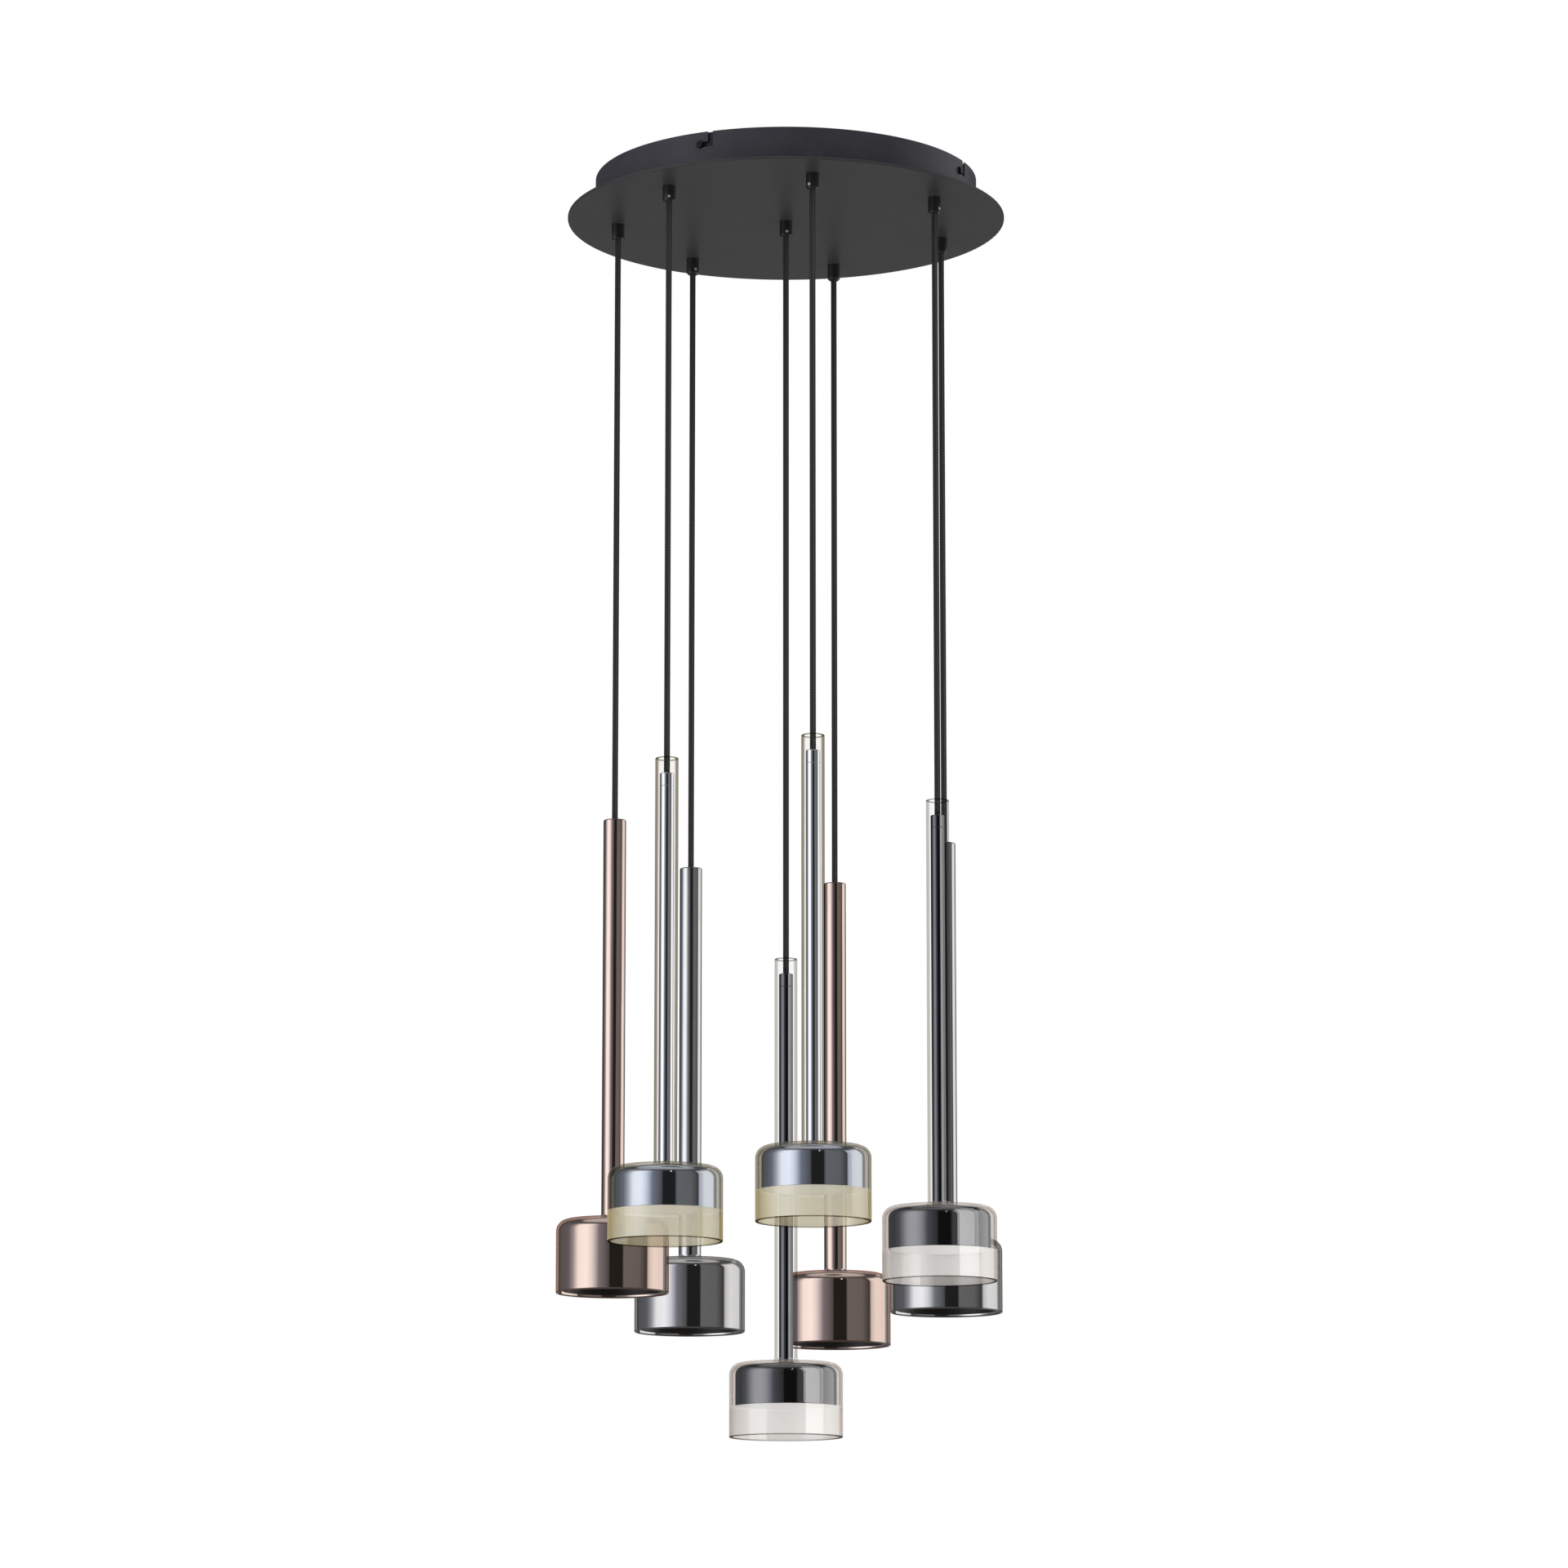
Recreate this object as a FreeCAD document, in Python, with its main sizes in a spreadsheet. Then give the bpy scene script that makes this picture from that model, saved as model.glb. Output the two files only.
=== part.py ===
import FreeCAD, Part
import os
import re

import Sketcher
from FreeCAD import Rotation, Vector

# Cluster pendant: eight glass pendants on straight cords under one round canopy. Seven
# hang on a circle and one in the middle. Millimetres, +Z up. The origin is the middle of
# the bracket's face against the ceiling, so everything lies below z = 0.

DRIVING_SIZES = {
    # Canopy: a flat plate under a shallow pan that is open towards the ceiling.
    "plate_diameter": 450,
    "plate_thickness": 3,
    "plate_edge": 0.8,
    "pan_diameter": 393,
    "pan_height": 38.7,
    "pan_wall": 1.5,
    "ceiling_gap": 0.5,
    # Bayonet: four screws in the bracket's tabs, in L-shaped slots in the pan.
    "screw_angle": 64.1,
    "screw_drop": 12.5,
    "screw_diameter": 4,
    "screw_head_diameter": 8,
    "screw_head_height": 2.6,
    "screw_recess_width": 0.9,
    "screw_recess_span": 4.4,
    "screw_recess_depth": 1.4,
    "slot_turn": 3.2,
    "slot_width": 5.5,
    "slot_height": 5.4,
    "slot_end_play": 0.5,
    "sliding_play": 0.3,
    "thread_play": 0.05,
    # Ceiling bracket: a cross of bent strip with a round middle.
    "bracket_thickness": 2,
    "arm_width": 30,
    "tab_drop": 21,
    "tab_play": 1,
    "tab_bend": 3,
    "bracket_hub_diameter": 84,
    "cable_bore_diameter": 24,
    "ceiling_hole_circle": 120,
    "ceiling_hole_diameter": 5.5,
    # Pendant circle, measured in from the pan's inner face.
    "ring_inset": 21,
    "ring_phase": 21.6,
    # Cord grips, their nuts and their clamping screws.
    "cord_diameter": 6,
    "grip_diameter": 13,
    "grip_length": 15,
    "grip_taper": 2,
    "grip_mouth_diameter": 9.6,
    "grip_edge": 0.5,
    "grip_bore_play": 0.3,
    "shank_diameter": 10,
    "shank_end": 1.5,
    "shank_play": 0.1,
    "nut_across_flats": 15,
    "nut_height": 4,
    "grub_diameter": 3,
    "grub_rise": 3,
    "grub_socket": 1.5,
    "grub_socket_depth": 1.1,
    "grub_recess": 0.2,
    # Wiring inside the canopy.
    "tail_start": 3.4,
    "tail_rise": 1.5,
    "tail_bend": 13,
    "tail_inside": 4,
    "centre_tail_rise": 10,
    "wiring_hub_diameter": 84,
    "wiring_hub_headroom": 1,
    "wiring_hub_wall": 1.8,
    "entry_play": 0.5,
    "mains_entry_diameter": 14,
    "driver_length": 104,
    "driver_width": 40,
    "driver_height": 21,
    "driver_edge": 2,
    "lug_length": 10,
    "lug_width": 22,
    "lug_thickness": 2,
    "lug_screw_diameter": 3,
    "lug_screw_head_diameter": 6,
    "lug_screw_head_height": 2,
    "earth_stud_diameter": 4,
    "earth_stud_length": 14,
    "earth_flange_diameter": 10,
    "earth_flange_thickness": 1,
    "earth_washer_thickness": 0.8,
    "earth_nut_across_flats": 7,
    "earth_nut_height": 3.2,
    # Blown glass: a slim tube that opens into a drum-shaped shade.
    "glass_length": 480,
    "glass_wall": 2.3,
    "tube_diameter": 23,
    "shade_diameter": 113,
    "shade_height": 74,
    "shoulder_radius": 12,
    "flare_radius": 5,
    # Light cup and what is in it. Under clear glass the cup is shallow. Under mirror glass
    # its wall runs on down, nearly to the shade's rim.
    "seat_thickness": 0.6,
    "cup_gap": 3.7,
    "cup_height": 40,
    "deep_cup_rim": 2.5,
    "cup_wall": 2.4,
    "cup_shoulder": 9,
    "rebate_width": 1.2,
    "diffuser_thickness": 2.4,
    "diffuser_play": 0.2,
    "diffuser_edge": 0.5,
    "board_margin": 2.5,
    "board_thickness": 1.6,
    "board_bore": 9,
    "chip_size": 3.4,
    "chip_height": 0.8,
    "chip_inset": 11,
    # Stem: tube, cap and the domed nut on the cup.
    "stem_gap": 2.2,
    "stem_wall": 1,
    "cap_recess": 15.5,
    "cap_length": 13,
    "cap_edge": 0.9,
    "cap_spigot": 5,
    "cap_joint": 0.4,
    "cord_depth": 6,
    "wire_bore": 4,
    "hub_nut_wall": 2,
    "hub_nut_land": 0.2,
    "hub_nut_skirt": 1.4,
    "hub_nut_height": 4.4,
    # From the plate's underside down to the top of each glass tube.
    "drop_1": 625,
    "drop_2": 587,
    "drop_3": 653,
    "drop_4": 769,
    "drop_5": 572,
    "drop_6": 665,
    "drop_7": 622,
    "drop_8": 640,
    # Which way each clamping screw faces.
    "grub_angle_1": 185,
    "grub_angle_2": 270,
    "grub_angle_3": 300,
    "grub_angle_4": 279,
    "grub_angle_5": 237,
    "grub_angle_6": 95,
    "grub_angle_7": 325,
    "grub_angle_8": 45,
}

RING_COUNT = 7
SCREW_COUNT = 4
CHIP_COUNT = 12
PENDANTS = [name.split("_")[1] for name in DRIVING_SIZES if name.startswith("drop_")]
# Each pendant's place on the circle, counted from the first place at ring_phase. The one
# that has none hangs in the middle.
RING_PLACES = {"8": 0, "6": 1, "3": 2, "1": 3, "2": 4, "5": 5, "7": 6}
MIDDLE = next(number for number in PENDANTS if number not in RING_PLACES)
# The two copper and the two smoke pendants have mirror glass.
MIRROR_PENDANTS = "1368"

# How near a shape's number comes to one that is looked for.
NEAR = 1e-4

# Heights and places that several pieces share, as expressions on the sizes above.
RING_STEP = f"360 / {RING_COUNT}"
PAN_UNDERSIDE = "-(ceiling_gap + pan_height)"
PAN_FLOOR = f"({PAN_UNDERSIDE} + pan_wall)"
PLATE_UNDERSIDE = f"({PAN_UNDERSIDE} - plate_thickness)"
SCREW_LEVEL = "-(ceiling_gap + screw_drop)"
PAN_BORE = "(pan_diameter / 2 - pan_wall)"
TAB_FACE = f"({PAN_BORE} - tab_play)"
RING_RADIUS = f"({PAN_BORE} - ring_inset)"
GRIP_BORE = "(cord_diameter / 2 + grip_bore_play)"
GRIP_MOUTH = "(grip_length + grip_taper)"
SHANK_LENGTH = "(plate_thickness + pan_wall + nut_height + shank_end)"
SHANK_HOLE = "(shank_diameter / 2 + shank_play)"
TAIL_BEND_START = f"({SHANK_LENGTH} + tail_rise)"
TAIL_LEVEL = f"({PLATE_UNDERSIDE} + {TAIL_BEND_START} + tail_bend)"
WIRING_HUB_BORE = "(wiring_hub_diameter / 2 - wiring_hub_wall)"
# The driver and the earth post lie midway between the wiring hub and the pan's wall. The
# driver is also midway between the second and third places on the circle.
MIDWAY = f"((wiring_hub_diameter / 2 + {PAN_BORE}) / 2)"
DRIVER_ANGLE = f"(ring_phase + 1.5 * {RING_STEP})"
EARTH_ANGLE = f"(ring_phase + 4.5 * {RING_STEP})"
LUG_REACH = "(driver_length / 2 + lug_length / 2)"
STEM_RADIUS = "(tube_diameter / 2 - glass_wall - stem_gap)"
CUP_RADIUS = "(shade_diameter / 2 - glass_wall - cup_gap)"
CUP_BORE = f"({CUP_RADIUS} - cup_wall)"
BOARD_RADIUS = f"({CUP_RADIUS} - cup_shoulder - board_margin)"
CUP_TOP = "(shade_height - glass_wall - seat_thickness)"
CUP_CEILING = f"({CUP_TOP} - cup_wall)"
DIFFUSER_FACE = f"({CUP_TOP} - cup_height)"
CAP_TOP = "(glass_length - cap_recess)"
CAP_BASE = f"({CAP_TOP} - cap_length)"

doc = FreeCAD.newDocument("ClusterPendant")
sheet = doc.addObject("Spreadsheet::Sheet", "Sizes")
for row, (alias, number) in enumerate(DRIVING_SIZES.items(), start=1):
    sheet.set(f"A{row}", alias.replace("_", " "))
    sheet.set(f"B{row}", str(number))
    sheet.setAlias(f"B{row}", alias)
doc.recompute()

ALIAS = re.compile(r"\b(" + "|".join(DRIVING_SIZES) + r")\b")


def linked(expression):
    """The expression with each size looked up in the sheet."""
    return ALIAS.sub(r"Sizes.\1", expression)


def value(expression):
    """What the expression comes to now, as a plain number."""
    found = sheet.evalExpression(linked(expression))
    return float(getattr(found, "Value", found))


def bind(thing, **properties):
    """Ties properties of an object to expressions on the sizes."""
    for name, expression in properties.items():
        thing.setExpression(name, linked(expression))
    return thing


def place(thing, x="0", y="0", z="0", turn="0", about=Vector(0, 0, 1)):
    """Ties an object's place, and its turn in degrees about an axis, to the sizes."""
    thing.Placement.Rotation = Rotation(about, value(turn) or 1e-9)
    for name, expression in {
        "Placement.Base.x": x,
        "Placement.Base.y": y,
        "Placement.Base.z": z,
        "Placement.Rotation.Angle": turn,
    }.items():
        thing.setExpression("." + name, linked(expression))
    return thing


def polar(radius, angle):
    """x and y expressions of a point at a radius and an angle."""
    return f"({radius}) * cos({angle})", f"({radius}) * sin({angle})"


def axis_of(number):
    """x and y expressions of a pendant's vertical axis."""
    if number == MIDDLE:
        return "0", "0"
    return polar(RING_RADIUS, ring_angle(number))


def ring_angle(number):
    return f"(ring_phase + {RING_PLACES[number]} * {RING_STEP})"


# PartDesign helpers


def new_body(label):
    body = doc.addObject("PartDesign::Body", label)
    body.Label = label
    return body


def new_sketch(body, role, offset="0"):
    """A sketch on one of the body's own planes, moved along that plane's normal."""
    plane = next(f for f in body.Origin.OriginFeatures if f.Role == role)
    sketch = body.newObject("Sketcher::SketchObject", body.Name + "_sketch")
    sketch.AttachmentSupport = [(plane, "")]
    sketch.MapMode = "FlatFace"
    sketch.setExpression(".AttachmentOffset.Base.z", linked(offset))
    return sketch


def hold_point(sketch, curve, end, x, y):
    """Holds one point of a curve at x and y expressions from the sketch's origin."""
    for kind, expression in (("DistanceX", x), ("DistanceY", y)):
        number = value(expression)
        index = sketch.addConstraint(
            Sketcher.Constraint(kind, -1, 1, curve, end, number)
        )
        sketch.setExpression(f"Constraints[{index}]", linked(expression))


def outline(sketch, corners):
    """A closed outline of straight lines through corners given as expressions."""
    points = [Vector(value(x), value(y), 0) for x, y in corners]
    count = len(points)
    for start, end in zip(points, points[1:] + points[:1]):
        sketch.addGeometry(Part.LineSegment(start, end), False)
    for curve in range(count):
        following = (curve + 1) % count
        sketch.addConstraint(Sketcher.Constraint("Coincident", curve, 2, following, 1))
    for curve, (x, y) in enumerate(corners):
        hold_point(sketch, curve, 1, x, y)
    return sketch


def circle(sketch, x, y, radius):
    """A circle whose centre and radius are expressions."""
    centre = Vector(value(x), value(y), 0)
    curve = sketch.addGeometry(
        Part.Circle(centre, Vector(0, 0, 1), value(radius)), False
    )
    index = sketch.addConstraint(Sketcher.Constraint("Radius", curve, value(radius)))
    sketch.setExpression(f"Constraints[{index}]", linked(radius))
    hold_point(sketch, curve, 3, x, y)
    return sketch


def rectangle(sketch, left, right, low, high):
    return outline(sketch, [(left, low), (right, low), (right, high), (left, high)])


def feature(body, kind, sketch, **properties):
    made = body.newObject("PartDesign::" + kind, f"{body.Name}_{kind}")
    made.Profile = sketch
    for name, setting in properties.items():
        if isinstance(setting, str) and name in ("Length", "Length2"):
            made.setExpression(name, linked(setting))
        else:
            setattr(made, name, setting)
    doc.recompute()
    return made


def pad(body, sketch, length, **properties):
    return feature(body, "Pad", sketch, Length=length, **properties)


def pocket(body, sketch, length, **properties):
    """A pocket, which has to take something away."""
    before = body.Tip.Shape.Volume
    made = feature(body, "Pocket", sketch, Length=length, **properties)
    if made.Shape.Volume > before - 1e-3:
        raise RuntimeError(f"a pocket in {body.Label} cuts nothing")
    return made


def revolve(body, sketch, axis="V_Axis"):
    return feature(
        body, "Revolution", sketch, ReferenceAxis=(sketch, [axis]), Angle=360.0
    )


def repeat(body, original, count):
    """Copies of a feature all round the body's Z axis."""
    axis = next(f for f in body.Origin.OriginFeatures if f.Role == "Z_Axis")
    pattern = body.newObject("PartDesign::PolarPattern", body.Name + "_round")
    pattern.Originals = [original]
    pattern.Axis = (axis, [""])
    pattern.Angle = 360.0
    pattern.Occurrences = count
    body.Tip = pattern
    doc.recompute()
    return pattern


def round_edges(body, radius, chosen):
    """A fillet on every edge of the body for which chosen(edge) is true."""
    base = body.Tip
    names = [
        f"Edge{index}"
        for index, edge in enumerate(base.Shape.Edges, start=1)
        if chosen(edge)
    ]
    if not names:
        raise RuntimeError(f"no edge to round in {body.Label}")
    fillet = body.newObject("PartDesign::Fillet", body.Name + "_rounding")
    fillet.Base = (base, names)
    bind(fillet, Radius=radius)
    doc.recompute()
    return fillet


def ring_edge(radius, level):
    """True for the circle of that radius at that height."""
    wanted_radius, wanted_level = value(radius), value(level)

    def chosen(edge):
        curve = edge.Curve
        return (
            isinstance(curve, Part.Circle)
            and abs(curve.Radius - wanted_radius) < NEAR
            and abs(curve.Center.z - wanted_level) < NEAR
            and abs(abs(curve.Axis.z) - 1) < NEAR
        )

    return chosen


# Part helpers


def primitive(kind, label, **sizes):
    return bind(doc.addObject("Part::" + kind, label), **sizes)


def cut(label, base, tool):
    made = doc.addObject("Part::Cut", label)
    made.Base = base
    made.Tool = tool
    return made


def fuse(label, *shapes):
    made = doc.addObject("Part::MultiFuse", label)
    made.Shapes = list(shapes)
    made.Refine = True
    return made


def group(label, members):
    """One node made of several separate solids."""
    made = doc.addObject("Part::Compound", label)
    made.Links = members
    return made


def hex_nut(label, across_flats, height, bore):
    block = primitive(
        "Prism", label + "_block", Circumradius=f"{across_flats} / sqrt(3)", Height=height
    )
    block.Polygon = 6
    hole = primitive("Cylinder", label + "_hole", Radius=bore, Height=height)
    return cut(label, block, hole)


# Canopy


def grip_holes(body, turn):
    """Clearance holes for the grips: seven on the circle and one in the middle."""
    middle = new_sketch(body, "XY_Plane")
    circle(middle, "0", "0", SHANK_HOLE)
    pocket(body, middle, "pan_height", Midplane=True)
    first = new_sketch(body, "XY_Plane")
    circle(first, *polar(RING_RADIUS, f"ring_phase - ({turn})"), SHANK_HOLE)
    hole = pocket(body, first, "pan_height", Midplane=True)
    repeat(body, hole, RING_COUNT)


def canopy_plate():
    body = new_body("canopy_plate")
    sketch = new_sketch(body, "XY_Plane")
    circle(sketch, "0", "0", "plate_diameter / 2")
    pad(body, sketch, "plate_thickness")
    for level in ("0", "plate_thickness"):
        round_edges(body, "plate_edge", ring_edge("plate_diameter / 2", level))
    grip_holes(body, "0")
    return place(body, z=PLATE_UNDERSIDE)


def canopy_pan():
    """Open-topped pan. In its own frame the first bayonet screw is on the +Y side."""
    turn = "screw_angle - 90"
    body = new_body("canopy_pan")
    sketch = new_sketch(body, "XY_Plane")
    circle(sketch, "0", "0", "pan_diameter / 2")
    pad(body, sketch, "pan_height")
    inside = new_sketch(body, "XY_Plane", "pan_height")
    circle(inside, "0", "0", PAN_BORE)
    pocket(body, inside, "pan_height - pan_wall")
    leg = "pan_diameter / 2 * sin(slot_turn)"
    level = "pan_height - screw_drop"
    roof = f"{level} + screw_diameter / 2 + sliding_play"
    floor = f"{roof} - slot_height"
    end = "screw_diameter / 2 + slot_end_play"
    near, far = f"-({leg} - slot_width / 2)", f"-({leg} + slot_width / 2)"
    above = "pan_height + slot_height"
    slot = new_sketch(body, "XZ_Plane")
    corners = [(end, floor), (end, roof), (near, roof), (near, above), (far, above)]
    outline(slot, corners + [(far, floor)])
    first = pocket(body, slot, "pan_diameter")
    repeat(body, first, SCREW_COUNT)
    grip_holes(body, turn)
    screws = new_sketch(body, "XY_Plane")
    for side in ("-", "+"):
        reach = f"{MIDWAY} {side} {LUG_REACH}"
        hole = "lug_screw_diameter / 2 + thread_play"
        circle(screws, *polar(reach, f"{DRIVER_ANGLE} - ({turn})"), hole)
    pocket(body, screws, "pan_height", Midplane=True)
    return place(body, z=PAN_UNDERSIDE, turn=turn)


def ceiling_bracket():
    """Cross of bent strip. Its arms end in tabs that take the bayonet screws."""
    body = new_body("ceiling_bracket")
    arm = new_sketch(body, "XZ_Plane")
    inner_face = f"{TAB_FACE} - bracket_thickness"
    corners = [("0", "0"), (TAB_FACE, "0"), (TAB_FACE, "-tab_drop")]
    corners += [(inner_face, "-tab_drop"), (inner_face, "-bracket_thickness")]
    outline(arm, corners + [("0", "-bracket_thickness")])
    first_arm = pad(body, arm, "arm_width", Midplane=True)
    repeat(body, first_arm, SCREW_COUNT)
    middle = new_sketch(body, "XY_Plane")
    circle(middle, "0", "0", "bracket_hub_diameter / 2")
    pad(body, middle, "bracket_thickness", Reversed=True)

    def bend_edge(reach, level):
        wanted_reach, wanted_level = value(reach), value(level)

        def chosen(edge):
            middle_point = edge.valueAt((edge.FirstParameter + edge.LastParameter) / 2)
            level_edge = abs(edge.BoundBox.ZMax - edge.BoundBox.ZMin) < NEAR
            away = max(abs(middle_point.x), abs(middle_point.y))
            return (
                level_edge
                and abs(middle_point.z - wanted_level) < NEAR
                and abs(away - wanted_reach) < NEAR
            )

        return chosen

    round_edges(body, "tab_bend", bend_edge(TAB_FACE, "0"))
    inside_bend = "tab_bend - bracket_thickness"
    round_edges(body, inside_bend, bend_edge(inner_face, "-bracket_thickness"))
    cable = new_sketch(body, "XY_Plane")
    circle(cable, "0", "0", "cable_bore_diameter / 2")
    pocket(body, cable, "4 * bracket_thickness", Midplane=True)
    fixing = new_sketch(body, "XY_Plane")
    circle(fixing, "ceiling_hole_circle / 2", "0", "ceiling_hole_diameter / 2")
    hole = pocket(body, fixing, "4 * bracket_thickness", Midplane=True)
    repeat(body, hole, SCREW_COUNT)
    thread = new_sketch(body, "YZ_Plane")
    circle(thread, "0", SCREW_LEVEL, "screw_diameter / 2 + thread_play")
    bore = pocket(body, thread, "pan_diameter / 2", Reversed=True)
    repeat(body, bore, SCREW_COUNT)
    return place(body, turn="screw_angle")


def canopy_screw(index):
    """Pan-head screw along its own X axis, with a cross recess in the head."""
    body = new_body(f"canopy_screw_{index}")
    seat = "pan_diameter / 2 + sliding_play"
    tip = f"{TAB_FACE} - 2 * bracket_thickness"
    crown = f"{seat} + screw_head_height"
    shank, head = "screw_diameter / 2", "screw_head_diameter / 2"
    profile = new_sketch(body, "XZ_Plane")
    corners = [(tip, "0"), (tip, shank), (seat, shank), (seat, head)]
    outline(profile, corners + [(crown, head), (crown, "0")])
    revolve(body, profile, "H_Axis")

    def rim(edge):
        box = edge.BoundBox
        flat = box.XMax - box.XMin < NEAR
        return flat and box.ZMax > value(head) - NEAR and box.XMax > value(crown) - NEAR

    round_edges(body, "0.6 * screw_head_height", rim)
    cross = new_sketch(body, "YZ_Plane", crown)
    half, reach = "screw_recess_width / 2", "screw_recess_span / 2"
    quarter = [(half, reach), (half, half), (reach, half)]
    corners = []
    for x_sign, y_sign, points in (
        ("", "", quarter),
        ("", "-", quarter[::-1]),
        ("-", "-", quarter),
        ("-", "", quarter[::-1]),
    ):
        corners += [(f"{x_sign}({x})", f"{y_sign}({y})") for x, y in points]
    outline(cross, corners)
    pocket(body, cross, "screw_recess_depth")
    return place(body, z=SCREW_LEVEL, turn=f"screw_angle + {index * 90}")


def cord_grip(number):
    """Turned gland: a round body under the plate and a threaded shank through it."""
    body = new_body(f"cord_grip_{number}")
    outer, shank, mouth = (
        "grip_diameter / 2",
        "shank_diameter / 2",
        "grip_mouth_diameter / 2",
    )
    profile = new_sketch(body, "XZ_Plane")
    corners = [(GRIP_BORE, f"-{GRIP_MOUTH}"), (mouth, f"-{GRIP_MOUTH}")]
    corners += [(outer, "-grip_length"), (outer, "0"), (shank, "0")]
    outline(profile, corners + [(shank, SHANK_LENGTH), (GRIP_BORE, SHANK_LENGTH)])
    revolve(body, profile)
    round_edges(body, "grip_edge", ring_edge(mouth, f"-{GRIP_MOUTH}"))
    round_edges(body, "2 * grip_edge", ring_edge(outer, "-grip_length"))
    thread = new_sketch(body, "YZ_Plane")
    circle(thread, "0", "grub_rise - grip_length", "grub_diameter / 2 + thread_play")
    pocket(body, thread, "grip_diameter", Reversed=True)
    x, y = axis_of(number)
    return place(body, x, y, PLATE_UNDERSIDE, f"grub_angle_{number}")


def grub_screw(number):
    """Small socket screw, flush with the grip, its tip against the cord."""
    start = "cord_diameter / 2 + thread_play"
    end = "grip_diameter / 2 - grub_recess"
    rod = primitive(
        "Cylinder",
        f"grub_rod_{number}",
        Radius="grub_diameter / 2",
        Height=f"{end} - ({start})",
    )
    place(rod, x=start, turn="90", about=Vector(0, 1, 0))
    socket = primitive(
        "Prism",
        f"grub_socket_{number}",
        Circumradius="grub_socket / sqrt(3)",
        Height="grub_socket_depth",
    )
    socket.Polygon = 6
    place(socket, x=f"{end} - grub_socket_depth", turn="90", about=Vector(0, 1, 0))
    x, y = axis_of(number)
    level = f"{PLATE_UNDERSIDE} - grip_length + grub_rise"
    return place(
        cut(f"grub_screw_{number}", rod, socket), x, y, level, f"grub_angle_{number}"
    )


def grip_nut(number):
    nut = hex_nut(f"grip_nut_{number}", "nut_across_flats", "nut_height", SHANK_HOLE)
    x, y = axis_of(number)
    return place(nut, x, y, PAN_FLOOR)


def cord_tail(number):
    """The cord's end inside the canopy: up through its grip and into the wiring hub."""
    label = f"cord_tail_{number}"
    start = f"-{GRIP_MOUTH} + tail_start"
    radius = "cord_diameter / 2"
    x, y = axis_of(number)
    if number == MIDDLE:
        length = f"{SHANK_LENGTH} + centre_tail_rise - ({start})"
        tail = primitive("Cylinder", label, Radius=radius, Height=length)
        return place(tail, x, y, f"{PLATE_UNDERSIDE} + {start}")
    upright = primitive(
        "Cylinder", label + "_upright", Radius=radius, Height=f"{TAIL_BEND_START} - ({start})"
    )
    place(upright, z=start)
    bend = primitive("Torus", label + "_bend", Radius1="tail_bend", Radius2=radius)
    bend.Angle3 = 90
    place(bend, "-tail_bend", z=TAIL_BEND_START, turn="90", about=Vector(1, 0, 0))
    run = f"{RING_RADIUS} - tail_bend - {WIRING_HUB_BORE} + tail_inside"
    level = primitive("Cylinder", label + "_level", Radius=radius, Height=run)
    place(
        level,
        "-tail_bend",
        z=f"{TAIL_BEND_START} + tail_bend",
        turn="-90",
        about=Vector(0, 1, 0),
    )
    tail = fuse(label, upright, bend, level)
    return place(tail, x, y, PLATE_UNDERSIDE, ring_angle(number))


def wiring_hub():
    """Round cover over the joints of the eight cords, open below, on the pan's floor."""
    body = new_body("wiring_hub")
    outer, inner, mains = (
        "wiring_hub_diameter / 2",
        WIRING_HUB_BORE,
        "mains_entry_diameter / 2",
    )
    level, entry_radius = f"{TAIL_LEVEL} - {PAN_FLOOR}", "cord_diameter / 2 + entry_play"
    lid = f"{level} + {entry_radius} + wiring_hub_headroom"
    top = f"{lid} + wiring_hub_wall"
    profile = new_sketch(body, "XZ_Plane")
    corners = [(inner, "0"), (outer, "0"), (outer, top)]
    outline(profile, corners + [(mains, top), (mains, lid), (inner, lid)])
    revolve(body, profile)
    round_edges(body, "wiring_hub_wall / 2", ring_edge(outer, top))
    entry = new_sketch(body, "YZ_Plane")
    circle(entry, "0", level, entry_radius)
    hole = pocket(body, entry, "wiring_hub_diameter", Reversed=True)
    repeat(body, hole, RING_COUNT)
    return place(body, z=PAN_FLOOR, turn="ring_phase")


def led_driver():
    """Power supply with a screw lug at each end. Its length lies along a radius."""
    body = new_body("led_driver")
    lugs = new_sketch(body, "XY_Plane")
    end = "driver_length / 2 + lug_length"
    rectangle(lugs, f"-({end})", end, "-lug_width / 2", "lug_width / 2")
    pad(body, lugs, "lug_thickness")
    case = new_sketch(body, "XY_Plane")
    half, side = "driver_length / 2", "driver_width / 2"
    rectangle(case, f"-{half}", half, f"-{side}", side)
    pad(body, case, "driver_height")
    top = value("driver_height")
    round_edges(body, "driver_edge", lambda edge: edge.BoundBox.ZMin > top - NEAR)
    holes = new_sketch(body, "XY_Plane")
    for sign in ("-", ""):
        circle(holes, sign + LUG_REACH, "0", "lug_screw_diameter / 2 + thread_play")
    pocket(body, holes, "4 * lug_thickness", Midplane=True)
    x, y = polar(MIDWAY, DRIVER_ANGLE)
    return place(body, x, y, PAN_FLOOR, DRIVER_ANGLE)


def driver_screw(index, side):
    """Pan-head screw through the driver's lug into the pan's floor."""
    label = f"driver_screw_{index}"
    grip = "lug_thickness + pan_wall"
    shank = primitive(
        "Cylinder", label + "_shank", Radius="lug_screw_diameter / 2", Height=grip
    )
    head = primitive(
        "Cylinder",
        label + "_head",
        Radius="lug_screw_head_diameter / 2",
        Height="lug_screw_head_height",
    )
    place(head, z=grip)
    x, y = polar(f"{MIDWAY} {side} {LUG_REACH}", DRIVER_ANGLE)
    return place(fuse(label, shank, head), x, y, PAN_UNDERSIDE)


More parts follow.
